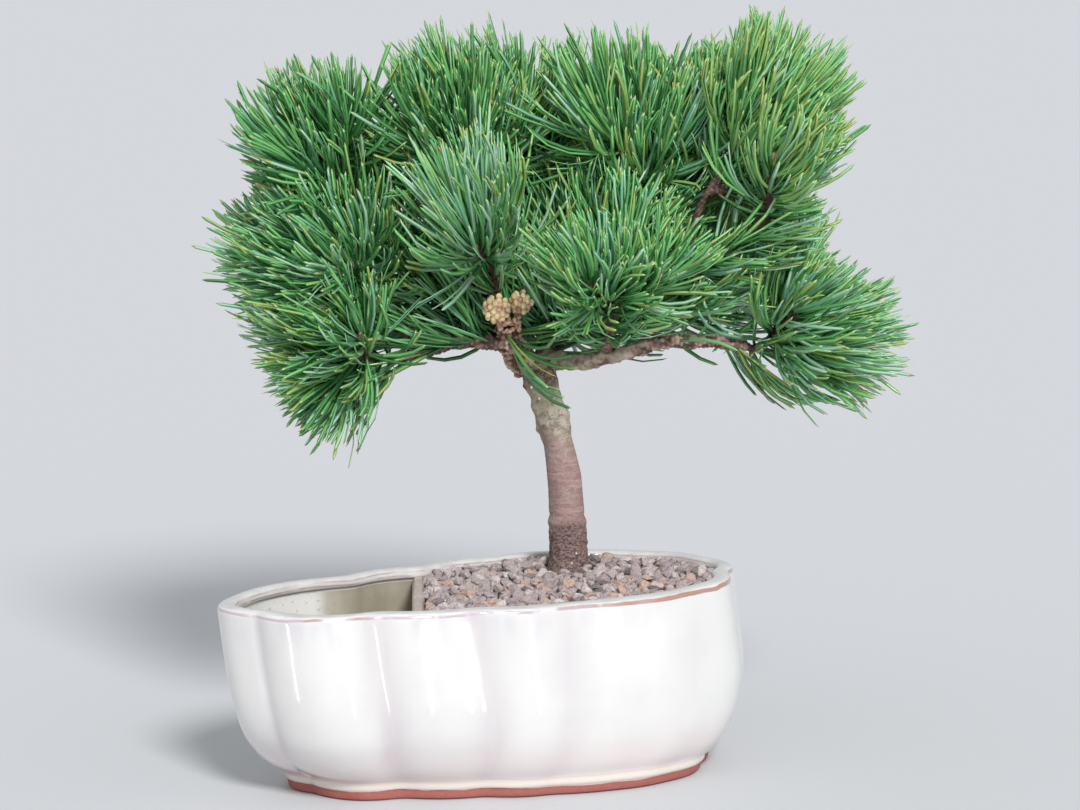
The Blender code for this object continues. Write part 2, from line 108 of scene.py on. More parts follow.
# Gravel and the grit under it
STONE_SHAPES = 28
STONE_CORNERS = 15
STONE_AXES = (0.62, 0.5, 0.42)
STONE_TIP = 0.7              # how far a stone tips over, in radians
# Layers of stones: inset from the rim, distance from the divider, spacing, tries, sizes, lift
STONE_LAYERS = (
    (9.2, 1.5, 4.1, 12000, (4.8, 7.2), 0.2),
    (10.4, 2.2, 6.1, 7000, (4.4, 7.8), 1.9),
)
STONE_FIELD = np.array((-60.0, -70.0)), np.array((130.0, 75.0))
# Kinds of stone: light colour, dark colour, share
STONES = {
    "stone_grey": ((0.56, 0.475, 0.46), (0.33, 0.265, 0.26), 40),
    "stone_mauve": ((0.50, 0.41, 0.415), (0.28, 0.225, 0.235), 26),
    "stone_pale": ((0.68, 0.60, 0.59), (0.45, 0.39, 0.38), 17),
    "stone_rust": ((0.62, 0.43, 0.36), (0.42, 0.28, 0.23), 10),
    "stone_dark": ((0.30, 0.26, 0.265), (0.15, 0.13, 0.135), 7),
}
SOIL_TOP = 88.0
TRUNK_CLEARANCE = 11.8
BED_BASE = 70.0
BED_EDGE = (86.0, 7.4)       # height and inset of the grit's outline
BED_MIDDLE = np.array((40.0, 0.0))
BED_DROP = 1.6               # how far the grit lies under the gravel's surface
# The gravel's surface: its level, then a mound at the trunk and a hollow: place, height, reach
GRAVEL_LEVEL = 86.5
GRAVEL_SWELLS = (((52.7, 24.1), 3.3, 36.0), ((18.0, 16.0), -2.2, 20.0))
BED_RINGS = (1.0, 0.95, 0.85, 0.7, 0.55, 0.4, 0.25, 0.1)

# Trunk and boughs, as in the source: x, y, z, radius
TRUNK = (
    (52.7, 24.1, 88.3, 10.8), (52.7, 24.1, 91.0, 10.0), (52.7, 24.3, 97.0, 9.1), (52.2, 24.6, 110.0, 8.9),
    (51.4, 24.7, 124.0, 8.3), (50.2, 24.4, 136.0, 8.1), (47.2, 24.3, 151.0, 7.1), (44.3, 24.8, 163.0, 7.9),
    (41.4, 25.4, 173.0, 7.4), (38.6, 26.2, 183.0, 7.9), (36.6, 27.0, 191.0, 8.4),
)
STUB = (
    (33.0, 27.2, 188.0, 8.3), (27.5, 27.0, 195.0, 8.0), (23.0, 26.5, 202.0, 7.0), (20.2, 26.0, 209.0, 6.4),
)
BOUGHS = {
    "left": ((24, 27, 200, 3.4), (4, 38, 201, 2.9), (-8, 50, 196, 2.6), (-20, 60, 192, 2.4)),
    "left_rise": ((-8, 50, 196, 2.3), (-18, 63, 206, 2.1), (-26, 71, 219, 1.9)),
    "upper_left": ((36, 28, 186, 3.0), (18, 50, 207, 2.6), (-4, 68, 225, 2.3), (-24, 75, 243, 2.0)),
    "top_left": ((37, 29, 188, 3.1), (33, 48, 207, 2.8), (27, 60, 226, 2.5), (24, 66, 243, 2.2)),
    "right": (
        (42, 26, 192, 4.0), (52, 12, 192, 3.7), (61, 1, 195, 3.5), (72, -9, 199, 3.5),
        (83, -16, 203, 3.0), (97, -20, 203, 2.9), (113, -24, 202, 2.8), (122, -25, 200, 2.5),
    ),
    "right_rise": ((76, -12, 200, 2.9), (80, -12, 210, 2.7), (87, -17, 228, 2.5), (92, -23, 248, 2.3)),
    "right_spur": ((87, -17, 228, 2.0), (98, -26, 238, 1.9), (108, -33, 247, 1.8)),
    "centre_spur": ((61, 1, 195, 2.0), (59, -6, 203, 1.9), (56, -12, 211, 1.8)),
    "crown": ((40, 27, 190, 3.4), (51, 30, 215, 3.0), (66, 22, 240, 2.6), (78, 14, 256, 2.3)),
    "crown_right": ((66, 22, 240, 2.2), (84, 17, 252, 2.0), (99, 8, 266, 1.9)),
    "crown_back": ((51, 30, 215, 2.3), (52, 47, 236, 2.1), (54, 56, 254, 1.9)),
    "back_right": (
        (41, 28, 190, 2.8), (61, 38, 200, 2.5), (86, 38, 203, 2.2), (108, 37, 206, 2.0), (124, 35, 210, 1.8),
    ),
    "back_centre": ((61, 38, 200, 2.1), (63, 56, 212, 2.0), (65, 71, 225, 1.8)),
    "back_left": ((29, 56, 219, 2.1), (13, 74, 223, 2.0), (-2, 88, 229, 1.8)),
}
LIMBS = {**BOUGHS, "stub": STUB}
FROM_TRUNK = ("left", "upper_left", "top_left", "right", "crown", "back_right")
TRUNK_FOOT = np.array(TRUNK[0][:2])
# The end of the trunk's rough foot, the start of its scars, and the ring and groove between
ROUGH_TOP = 112.0
SCARS_START = 142.0
TRUNK_RINGS = ((113.0, 1.8, 0.55), (116.5, 1.4, -0.40))    # height, reach, rise
# Knobs on the trunk: place, radius, height
TRUNK_KNOBS = (
    ((50.5, 20.0, 166.0), 2.6, 1.6), ((37.4, 27.2, 170.0), 1.9, 1.9), ((39.2, 27.0, 158.5), 1.8, 1.8),
    ((32.4, 28.0, 180.0), 2.0, 1.5), ((38.0, 19.4, 168.0), 1.7, 1.0),
)

# Masses: limb, points after its tip, side shoots, their tilt, needle length, turn of the first
# side shoot, finer twigs, lean of the needles, palette. All but the needle length and the last
# three is as in the source.
MASSES = {
    "lower_left": ("left", ((-36, 56, 193), (-56, 50, 194)),
                   2, 48, 54, 200, 3, (-0.41, 0.19, -0.35), "mixed"),
    # The two masses on the left take the shade and dark palettes: painted shade, as less light falls there
    "left": ("left_rise", ((-42, 69, 233), (-58, 67, 244)),
             2, 50, 48, 20, 3, (-0.32, 0.15, 0.02), "shade"),
    "upper_left": ("upper_left", ((-38, 76, 266), (-46, 75, 284), (-55, 75, 296)),
                   1, 45, 50, 100, 2, (-0.18, 0.08, 0.20), "dark"),
    "top_left": ("top_left", ((19, 62, 274), (12, 58, 305)),
                 2, 46, 56, 73, 3, (-0.05, 0.0, 0.35), "green"),
    "front": ("stub", ((18, 30, 221), (11, 21, 240), (1, 4, 257)),
              1, 45, 61, 300, 1, (-0.02, 0.04, 0.60), "pale"),
    "centre": ("centre_spur", ((53, -20, 220), (50, -30, 233)),
               1, 55, 42, 250, 2, (0.05, -0.02, 0.10), "fresh"),
    "top_centre": ("crown", ((83, 10, 275), (79, 16, 302)),
                   1, 50, 55, 10, 3, (-0.09, 0.04, 0.35), "green"),
    "top_middle": ("crown_right", ((110, 0, 282), (117, -1, 306)),
                   0, 45, 50, 0, 3, (0.0, 0.0, 0.30), "fresh"),
    "top_right": ("right_rise", ((98, -28, 272), (115, -28, 289), (142, -27, 307)),
                  2, 45, 56, 300, 3, (0.23, -0.10, 0.30), "fresh"),
    "right": ("right_spur", ((122, -44, 262), (134, -54, 277)),
              1, 50, 48, 330, 2, (0.32, -0.15, 0.05), "sunny"),
    "lower_right": ("right", ((134, -30, 203), (147, -36, 214)),
                    2, 55, 54, 200, 3, (0.32, -0.15, -0.14), "bright"),
    "back_right": ("back_right", ((140, 36, 224), (154, 38, 240)),
                   1, 50, 50, 60, 3, (0.20, 0.20, 0.15), "green"),
    "back_left": ("back_left", ((-14, 106, 242), (-24, 120, 254)),
                  2, 50, 52, 90, 3, (-0.20, 0.25, 0.12), "green"),
    "back_centre": ("back_centre", ((65, 90, 244), (63, 104, 260)),
                    1, 50, 52, 40, 3, (0.0, 0.30, 0.12), "green"),
    "back_top": ("crown_back", ((54, 66, 282), (52, 72, 304)),
                 1, 50, 48, 70, 2, (0.0, 0.25, 0.15), "green"),
}
# Side shoots and finer twigs: length, where the first leaves the stem, how much lower each next
SIDE_SHOOT = (33.0, 0.55, 0.2)
TWIG = (26.0, 0.72, 0.16)
TWIG_CLOSER = 6              # how much less a twig tilts than a side shoot
TWIG_RADII = (1.9, 1.2)
NEEDLED = 50.0               # length of a shoot that bears needles
SHOOT_TILTS = (74.0, 22.0)   # of a shoot's needles, from its foot to its tip
LOW_LIMBS = ("left", "right")    # limbs whose underside stays bare
LOWEST_HEADING = -0.40       # how far down a needle on them may point, where its spray doesn't hang
MIDDLE_TURN = 0.66           # cosine of the sharpest turn of a needle by its middle
END_TURN = 0.45              # the same by its tip
PAIRS_PER_SHOOT = 72
PAIRS_BEHIND = 96            # the same for the masses at the back, which have fewer shoots
NEEDLE_WIDTH = 1.95
NEEDLE_DEPTH = 1.1
NEEDLE_RINGS = (0.0, 0.07, 0.27, 0.50, 0.73, 0.945)
NEEDLE_TAPER = (0.6, 0.85, 1.0, 1.0, 0.95, 0.78)
DRIFT_SCALE = 22.0           # of the noise that bends neighbouring needles alike
DRIFT_REACH = 14.0           # how far from its foot a needle reads it
DRIFT_OFFSETS = ((0, 0, 0), (710, 190, 430), (-380, 880, -540))    # where it is read for x, y and z
BUD_LENGTHS = (6.0, 9.5)
BUD_WIDTHS = (1.5, 2.0)
# A bud's section: share of its length, where a negative one is millimetres, and of its width
BUD_SECTION = ((-1.5, 0.75), (0.0, 0.95), (0.25, 1.0), (0.5, 0.92), (0.75, 0.66), (0.92, 0.34), (1.0, 0.12))

# Colours of needles, each with the one that its upper part may take. The deep green also serves as painted
# shade on the feet of needles.
GREENS = {
    "needle_deep_and_shade": ((0.075, 0.260, 0.080), 1),
    "needle_mid": ((0.140, 0.430, 0.140), 2),
    "needle_fresh": ((0.215, 0.550, 0.185), 5),
    "needle_blue": ((0.215, 0.505, 0.300), 4),
    "needle_pale": ((0.380, 0.650, 0.430), 4),
    "needle_lime": ((0.310, 0.560, 0.170), 6),
    "needle_yellow": ((0.385, 0.510, 0.130), 6),
    "needle_amber": ((0.450, 0.290, 0.090), 7),
}
LIGHTER = [lighter for _, lighter in GREENS.values()]
DEEP, YELLOW, FRESH_TIP, DRY_TIP, SHEATH = 0, 6, 8, 9, 10    # places of some of the colours
# Shares of the needles that have each of these; the deep green on a needle's foot is painted shade
SHADED_FOOT = 0.65
DRY_TIPPED = 0.02
NOT_TIPPED = 0.4
PLAIN_UPPER = 0.60
NOT_YELLOW = 0.97

# Shares of the colours in each palette
PALETTES = {
    "mixed": (0.14, 0.25, 0.13, 0.16, 0.18, 0.10, 0.04, 0.00),
    # The dark and shade palettes deal deeper greens as painted shade
    "dark": (0.40, 0.38, 0.10, 0.09, 0.02, 0.01, 0.00, 0.00),
    "shade": (0.24, 0.34, 0.10, 0.24, 0.06, 0.02, 0.00, 0.00),
    "bright": (0.05, 0.18, 0.23, 0.22, 0.24, 0.07, 0.01, 0.00),
    "sunny": (0.04, 0.20, 0.24, 0.12, 0.18, 0.15, 0.07, 0.00),
    "green": (0.20, 0.38, 0.24, 0.12, 0.04, 0.02, 0.00, 0.00),
    "fresh": (0.08, 0.28, 0.38, 0.10, 0.09, 0.06, 0.01, 0.00),
    "pale": (0.03, 0.12, 0.16, 0.32, 0.36, 0.01, 0.00, 0.00),
    "old": (0.20, 0.26, 0.17, 0.05, 0.04, 0.17, 0.10, 0.01),
}

# Sprays of needles on the limbs themselves: share from, share to, pairs, tilts, lean, palette
LIMB_SPRAYS = {
    "left": (
        (0.50, 0.95, 24, (66, 44), (-0.2, 0.1, -0.1), "old"),
        (0.08, 0.50, 34, (85, 60), (-0.35, 0.1, 0.25), "green"),
        (0.05, 0.60, 40, (90, 60), (-0.1, 0.0, 0.6), "green"),
    ),
    "left_rise": ((0.05, 0.95, 44, (80, 44), (-0.1, 0.1, 0.0), "mixed"),),
    "upper_left": (
        (0.15, 0.60, 60, (85, 50), (0.1, 0.0, 0.1), "mixed"),
        (0.50, 0.98, 50, (85, 44), (0.0, 0.0, 0.2), "old"),
        (0.30, 0.95, 50, (90, 60), (0.4, -0.2, 0.3), "old"),
        (0.10, 0.80, 44, (95, 75), (-0.3, 0.1, -0.1), "green"),
    ),
    "top_left": (
        (0.30, 0.98, 64, (85, 44), (-0.1, 0.0, 0.1), "old"),
        (0.05, 0.40, 44, (85, 70), (0.2, 0.0, 0.1), "green"),
        (0.30, 0.95, 50, (90, 60), (-0.6, 0.2, 0.1), "old"),
        (0.15, 0.90, 44, (95, 75), (-0.3, 0.1, -0.1), "green"),
    ),
    "stub": (
        (0.62, 0.98, 26, (88, 72), (0.0, 0.0, 0.05), "fresh"),
        (0.60, 0.95, 26, (85, 60), (-0.75, 0.25, 0.25), "old"),
        (0.60, 0.95, 18, (95, 80), (0.5, -0.2, -0.1), "fresh"),
    ),
    "right": ((0.62, 0.97, 17, (70, 50), (0.10, -0.05, -0.30), "old"),),
    "right_rise": (
        (0.10, 0.60, 36, (80, 50), (0.1, 0.0, 0.1), "old"),
        (0.55, 0.98, 36, (80, 60), (-0.3, 0.1, 0.15), "fresh"),
    ),
    "right_spur": ((0.05, 0.98, 46, (80, 44), (0.1, 0.0, 0.1), "sunny"),),
    "centre_spur": (
        (0.05, 0.95, 24, (88, 66), (0.0, 0.0, 0.15), "fresh"),
        (0.10, 0.90, 22, (100, 85), (0.4, -0.2, -0.05), "fresh"),
    ),
    "crown": (
        (0.40, 0.98, 40, (66, 44), (0.0, 0.0, 0.1), "old"),
        (0.02, 0.45, 50, (80, 60), (-0.1, 0.1, 0.1), "green"),
        (0.45, 0.98, 56, (85, 60), (-0.3, 0.1, 0.1), "green"),
        (0.10, 0.90, 84, (90, 60), (-0.55, 0.25, 0.0), "green"),
    ),
    "crown_right": ((0.10, 0.98, 36, (80, 44), (0.0, 0.0, 0.1), "green"),),
    "crown_back": (
        (0.40, 0.98, 30, (66, 44), (0.0, 0.1, 0.1), "old"),
        (0.05, 0.6, 44, (85, 60), (0.0, 0.0, 0.1), "green"),
        (0.10, 0.90, 40, (90, 60), (-0.5, 0.2, 0.0), "green"),
    ),
    "back_right": (
        (0.25, 0.98, 40, (70, 44), (0.0, 0.0, 0.0), "mixed"),
        (0.02, 0.60, 60, (85, 60), (0.0, 0.0, 0.1), "green"),
    ),
    "back_left": ((0.05, 0.98, 50, (80, 44), (0.0, 0.0, 0.0), "mixed"),),
    "back_centre": ((0.10, 0.98, 36, (80, 44), (0.0, 0.0, 0.0), "mixed"),),
}
# Needles that hang across the bare limbs, with the same columns
LOOSE_SPRAYS = {"stub": ((0.55, 0.95, 15, (90, 70), (1.05, -0.75, -0.38), "fresh"),)}

# Pollen cones: centre, foot of the stalk, cluster radius, its margin, buds, shares of their colours
CONES = {
    "pollen_cones_left": ((11.6, 17.2, 218.6), (16.3, 22.3, 208.1), 4.6, 2.1, 36, (80, 10, 10)),
    "pollen_cones_right": ((25.0, 19.0, 221.0), (23.6, 22.3, 210.8), 3.6, 2.0, 25, (50, 34, 16)),
}
CREAM, PINK = 0, 2           # places of two of the buds' colours
BALL_LUMPS = 0.16
# Loose scales below the clusters
LOOSE_SCALES = 22
SCALES_CENTRE = np.array((20.4, 18.4, 211.0))
SCALES_SPREAD = (3.6, 1.8)
# Drops of resin: centre, radius, kind
RESIN = (
    ((27.5, 19.4, 193.5), 1.0, 0), ((31.0, 19.6, 180.0), 0.7, 1), ((34.6, 18.7, 174.5), 0.5, 1),
    ((52.5, 15.5, 99.0), 0.5, 1), ((50.2, 15.6, 94.5), 0.4, 1),
)

# The front view: the camera's place, its turn to the right of +Y, how far it looks down
CAMERA_PLACE = (-732.1, -1644.4, 441.9)
CAMERA_TURN = 24.76
CAMERA_DIP = 8.4
CAMERA_LENS = 130.0
SENSOR_WIDTH = 36.0
VIEW_WIDTH = 1080.0
VIEW_HEIGHT = 810.0
VIEW_SCALE = 2.08            # the view's pixels to a millimetre at the trunk

# What the crown leaves open to the front view: start, end, radius
OPEN_LIMBS = (
    ((12.0, 18.0, 218.0), (26.0, 19.0, 219.0), 8.0), ((20.0, 15.0, 212.0), (36.0, 27.0, 188.0), 7.6),
    ((36.0, 27.0, 188.0), (52.0, 24.0, 120.0), 15.0), ((46.0, 22.0, 190.0), (72.0, -9.0, 196.0), 3.4),
    ((72.0, -9.0, 196.0), (110.0, -24.0, 199.0), 3.0), ((22.0, 28.0, 198.0), (-10.0, 52.0, 193.0), 2.6),
)
# The crown's outline in the photo, in the pixels of its frame of 1080 by 810. The points were
# read, and those that the shape doesn't need were left out, most of them by a program.
CROWN_OUTLINE = np.array((
    (520, 350), (480, 347), (408, 366), (355, 464), (293, 427), (238, 322), (198, 272), (201, 210),
    (248, 174), (221, 154), (225, 100), (246, 70), (290, 50), (332, 54), (362, 62), (367, 98), (395, 40),
    (420, 25), (495, 13), (524, 45), (522, 78), (533, 92), (551, 29), (626, 18), (672, 54), (692, 39),
    (740, 34), (743, 8), (769, 1), (820, 28), (832, 19), (862, 57), (877, 60), (884, 104), (818, 180),
    (814, 192), (832, 214), (816, 242), (870, 279), (893, 280), (915, 333), (908, 374), (869, 423),
    (795, 420), (716, 392), (708, 366), (690, 352), (560, 366),
), float)
OUTLINE_SLACK = 7.5
KEPT_LENGTHS = (0.4, 0.5, 0.6, 0.7, 0.8, 0.9, 1.0)     # shares of a needle that may stay
SHORTEST = 0.55
TESTED_PLACES = (0.12, 0.3, 0.5, 0.75, 1.0)            # where along a needle it is tested
FIRST_SEED = 500             # of the masses' random draws
HIDDEN_SHARE = 0.9           # chance at each tested place that one across what stays open is left out

# Stage, in metres
FLOOR_HALF = 16.0
FLOOR_DROP = 0.0004
SUN_PLACE = (-0.12, -0.90, 0.64)
SUN_STRENGTH = 2.9
SUN_WIDTH = math.radians(14)
SKY_COLOUR = (0.95, 0.97, 1.0)
SKY_STRENGTH = 0.60
GLINT_HEIGHT = 0.034
GLINT_SIZE = (0.0010, 0.064)
# Low strips close before the wall, which show in the glaze only: x, y, watts
GLINTS = ((-0.210, -0.060, 0.013), (-0.070, -0.144, 0.014), (0.010, -0.156, 0.013))


# Materials, whose places and depths are metres, as object coordinates are

class Look:
    """A material's Principled shader and the nodes that feed it."""

    def __init__(self, name, colour, roughness, **settings):
        self.material = bpy.data.materials.new(name)
        self.material.use_nodes = True
        self.tree = self.material.node_tree
        self.shader = self.tree.nodes["Principled BSDF"]
        self.shader.inputs["Base Color"].default_value = (*colour, 1.0)
        self.shader.inputs["Roughness"].default_value = roughness
        for label, value in settings.items():
            self.shader.inputs[label.replace("_", " ")].default_value = value
        self.place = self.node("TexCoord").outputs["Object"]

    def node(self, kind, **settings):
        made = self.tree.nodes.new("ShaderNode" + kind)
        for label, value in settings.items():
            setattr(made, label, value)
        return made

    def feed(self, target, value):
        """Gives a socket a number, a colour or another socket's value."""
        if isinstance(value, tuple):
            target.default_value = (*value, 1.0)
        elif isinstance(value, (int, float)):
            target.default_value = value
        else:
            self.tree.links.new(value, target)

    def texture(self, kind, scale, stretch, **settings):
        """A texture of the object's own coordinates, stretched along each axis."""
        mapping = self.node("Mapping")
        mapping.inputs["Scale"].default_value = stretch
        self.feed(mapping.inputs["Vector"], self.place)
        made = self.node(kind, **settings)
        made.inputs["Scale"].default_value = scale
        self.feed(made.inputs["Vector"], mapping.outputs["Vector"])
        return made

    def noise(self, scale, detail=3.0, stretch=(1, 1, 1)):
        made = self.texture("TexNoise", scale, stretch)
        made.inputs["Detail"].default_value = detail
        return made.outputs["Fac"]

    def cells(self, scale):
        return self.texture("TexVoronoi", scale, (1, 1, 1), feature="DISTANCE_TO_EDGE").outputs["Distance"]

    def along(self, axis):
        split = self.node("SeparateXYZ")
        self.feed(split.inputs[0], self.place)
        return split.outputs[axis]

    def attribute(self, name):
        return self.node("Attribute", attribute_name=name).outputs["Fac"]

    def maths(self, operation, *values, clamp=False):
        made = self.node("Math", operation=operation, use_clamp=clamp)
        for index, value in enumerate(values):
            self.feed(made.inputs[index], value)
        return made.outputs[0]

    def times(self, first, second):
        return self.maths("MULTIPLY", first, second)

    def linear(self, value, factor, added):
        return self.maths("MULTIPLY_ADD", value, factor, added)

    def step(self, value, low, high):
        """0 below low, 1 above high and smooth between; low above high turns it round."""
        made = self.node("MapRange", interpolation_type="SMOOTHSTEP")
        rises = low < high
        limits = {"From Min": min(low, high), "From Max": max(low, high),
                  "To Min": 0.0 if rises else 1.0, "To Max": 1.0 if rises else 0.0}
        for label, limit in limits.items():
            made.inputs[label].default_value = limit
        self.feed(made.inputs["Value"], value)
        return made.outputs["Result"]

    def specks(self, scale, detail, low, high, stretch=(1, 1, 1)):
        """Noise turned into patches with soft edges."""
        return self.step(self.noise(scale, detail, stretch), low, high)

    def band(self, value, low, high, soft):
        """1 between low and high, with soft ends."""
        rise = self.step(value, low - soft, low + soft)
        return self.times(rise, self.step(value, high + soft, high - soft))

    def mix(self, factor, first, second):
        made = self.node("Mix", data_type="RGBA")
        for index, value in ((0, factor), (6, first), (7, second)):
            self.feed(made.inputs[index], value)
        return made.outputs[2]

    def blend(self, value, low, high, first, second):
        """The first colour where the value is below low, the second above high."""
        return self.mix(self.step(value, low, high), first, second)

    def layer(self, under, share, strength, paint):
        """A colour laid over another where the share is high."""
        return self.mix(self.times(share, strength), under, paint)

    def finish(self, colour, height, strength, depth):
        """The shader's colour and its bumps."""
        if colour is not None:
            self.feed(self.shader.inputs["Base Color"], colour)
        made = self.node("Bump")
        made.inputs["Strength"].default_value = strength
        made.inputs["Distance"].default_value = depth
        self.feed(made.inputs["Height"], height)
        self.feed(self.shader.inputs["Normal"], made.outputs["Normal"])
        return self.material


def white_glaze(look, height, side):
    """Clouded white, with painted lilac-grey shade in the valleys between lobes, lilac under the rim and a
    blush near the foot.
    """
    colour = look.blend(look.noise(24, 4), 0.42, 0.68, (0.75, 0.74, 0.725), (0.705, 0.69, 0.685))
    # Painted shade in the valleys, broken into streaks and weaker on the right half, which gets more light
    valley_shade_streaks = look.specks(60, 3, 0.35, 0.65, (1, 1, 0.12))
    valley = look.times(look.attribute("valley"), look.linear(valley_shade_streaks, 0.35, 0.40))
    colour = look.mix(look.times(valley, look.linear(side, -0.65, 1.0)), colour, (0.56, 0.51, 0.53))
    upper = look.times(look.specks(70, 2, 0.46, 0.64, (1, 1, 0.35)), look.step(height, 0.072, 0.089))
    upper = look.times(upper, look.linear(side, -0.9, 1.0))
    colour = look.layer(colour, upper, 0.35, (0.54, 0.49, 0.58))
    return look.layer(colour, look.step(height, 0.036, 0.010), 0.55, (0.70, 0.585, 0.57))


def worn_edge(look, colour, shifted, side):
    """Brown and lilac where the glaze is worn along the rim's outer edge."""
    above = look.maths("SUBTRACT", shifted, look.linear(side, -0.0008, 0.0912))
    below = look.maths("SUBTRACT", shifted, 0.0921)
    worn = look.times(look.step(above, -0.0003, 0.0001), look.step(below, 0.0004, 0.0))
    worn = look.times(worn, look.linear(side, 0.2, 0.75))
    broken = look.step(look.linear(side, 0.24, look.noise(70, 5)), 0.42, 0.54)
    lilac = look.times(look.specks(40, 3, 0.46, 0.58), look.linear(side, -0.9, 1.0))
    hue = look.mix(lilac, (0.39, 0.185, 0.125), (0.47, 0.36, 0.42))
    return look.mix(look.times(worn, broken), colour, hue)


def red_clay(look, grain):
    clay = look.mix(grain, (0.30, 0.080, 0.062), (0.42, 0.150, 0.125))
    return look.mix(look.specks(60, 3, 0.5, 0.7), clay, (0.34, 0.092, 0.070))


def glaze_wall():
    """Milk-white glaze, worn to brown at the rim's edge, bare clay at the foot."""
    look = Look("glaze_wall", (0.72, 0.71, 0.69), 0.14, Coat_Weight=1.0, Coat_Roughness=0.04)
    height = look.along(2)
    shifted = look.linear(look.noise(38, 3), 0.0030, height)
    side = look.step(look.along(0), -0.03, 0.10)
    colour = worn_edge(look, white_glaze(look, height, side), shifted, side)
    colour = look.layer(colour, look.band(shifted, 0.0100, 0.0104, 0.0004), 0.40, (0.42, 0.24, 0.18))
    colour = look.layer(colour, look.band(height, 0.0045, 0.0085, 0.0010), 0.5, (0.72, 0.64, 0.53))
    bare = look.step(look.linear(look.noise(45, 3), 0.0030, height), 0.0062, 0.0056)
    grain = look.noise(900, 4)
    colour = look.mix(bare, colour, red_clay(look, grain))
    look.feed(look.shader.inputs["Roughness"], look.linear(bare, 0.62, 0.14))
    look.feed(look.shader.inputs["Coat Weight"], look.maths("SUBTRACT", 1.0, bare, clamp=True))
    relief = look.maths("ADD", look.noise(55, 2, (1, 1, 0.3)), look.times(grain, look.times(bare, 0.35)))
    return look.finish(colour, relief, 0.22, 0.0010)


def glaze_rim():
    """The rim's top and inner lip: greyish-white, painted greyer than the wall as a dull reflection, with
    brown lines where the glaze is thin.
    """
    look = Look("glaze_rim", (0.62, 0.61, 0.58), 0.18, Coat_Weight=0.7, Coat_Roughness=0.06)
    shifted = look.linear(look.noise(42, 3), 0.0016, look.along(2))
    # Greyer than the wall's white glaze: a painted dull reflection
    colour = look.blend(look.noise(60, 4), 0.4, 0.65, (0.70, 0.69, 0.68), (0.59, 0.57, 0.565))
    colour = look.layer(colour, look.specks(110, 3, 0.55, 0.70), 0.4, (0.50, 0.46, 0.55))
    edge = look.times(look.band(shifted, 0.0908, 0.0915, 0.0003), look.specks(50, 4, 0.36, 0.54))
    colour = look.layer(colour, edge, 0.6, (0.33, 0.17, 0.13))
    lip = look.times(look.band(shifted, 0.0889, 0.0896, 0.0003), look.specks(55, 4, 0.34, 0.50))
    colour = look.layer(colour, lip, 0.75, (0.36, 0.18, 0.13))
    return look.finish(colour, look.noise(90, 3), 0.25, 0.001)


def basin_glaze_and_shade():
    """The basin's glaze: dark olive-grey painted shade, paler towards the pot's end where the white glaze
    shows.
    """
    look = Look("basin_glaze_and_shade", (0.60, 0.58, 0.53), 0.16, Coat_Weight=0.7, Coat_Roughness=0.06)
    cloud = look.noise(30, 4, (1, 1, 0.5))
    # Dark olive-grey painted shade over the inner wall; only towards the pot's end does the pale glaze show
    colour = look.blend(cloud, 0.4, 0.66, (0.44, 0.41, 0.34), (0.31, 0.28, 0.21))
    pale = look.step(look.linear(cloud, 0.03, look.along(0)), -0.050, -0.060)
    colour = look.mix(pale, colour, (0.76, 0.75, 0.73))
    colour = look.layer(colour, look.specks(500, 3, 0.62, 0.72), 0.4, (0.30, 0.22, 0.16))
    return look.finish(colour, look.noise(60, 3), 0.2, 0.001)


def glaze_divider():
    """The divider's glaze, brown where it runs thin along the edges."""
    look = Look("glaze_divider", (0.60, 0.56, 0.47), 0.25, Coat_Weight=0.2, Coat_Roughness=0.1)
    shifted = look.linear(look.noise(120, 4), 0.0040, look.along(2))
    colour = look.blend(look.noise(60, 4, (1, 1, 0.5)), 0.4, 0.66, (0.66, 0.62, 0.53), (0.46, 0.41, 0.32))
    colour = look.layer(colour, look.step(shifted, 0.0880, 0.0905), 0.7, (0.33, 0.17, 0.12))
    return look.finish(colour, look.noise(150, 3), 0.35, 0.001)


def stone_look(name, light, dark):
    """Crushed stone with a fine speckle."""
    look = Look(name, light, 0.85)
    speckle = look.noise(1400, 5)
    patches = look.noise(260, 4)
    tint = tuple(0.5 * (a + b) * 0.9 for a, b in zip(light, dark))
    colour = look.blend(speckle, 0.35, 0.65, dark, light)
    colour = look.layer(colour, look.step(patches, 0.5, 0.65), 0.6, tint)
    return look.finish(colour, look.maths("ADD", speckle, patches), 0.6, 0.0006)


def grit_look():
    look = Look("grit_bed", (0.09, 0.07, 0.06), 0.95)
    grain = look.noise(900, 5)
    colour = look.blend(grain, 0.4, 0.62, (0.05, 0.038, 0.032), (0.22, 0.17, 0.15))
    return look.finish(colour, grain, 0.8, 0.001)


def smooth_bark(look, rings, broad, patches):
    """The trunk's mauve middle."""
    colour = look.blend(rings, 0.34, 0.70, (0.31, 0.195, 0.178), (0.43, 0.295, 0.275))
    colour = look.layer(colour, look.step(broad, 0.48, 0.64), 0.6, (0.42, 0.315, 0.285))
    return look.layer(colour, look.step(patches, 0.54, 0.64), 0.45, (0.22, 0.135, 0.12))


def green_bark(look, broad, patches):
    """The trunk's grey-green upper part, speckled dark and pale."""
    colour = look.blend(patches, 0.36, 0.62, (0.285, 0.23, 0.175), (0.50, 0.435, 0.35))
    colour = look.layer(colour, look.step(broad, 0.50, 0.62), 0.6, (0.37, 0.35, 0.235))
    colour = look.layer(colour, look.specks(420, 5, 0.56, 0.66), 0.6, (0.12, 0.075, 0.055))
    return look.layer(colour, look.specks(330, 5, 0.58, 0.68), 0.6, (0.56, 0.53, 0.46))


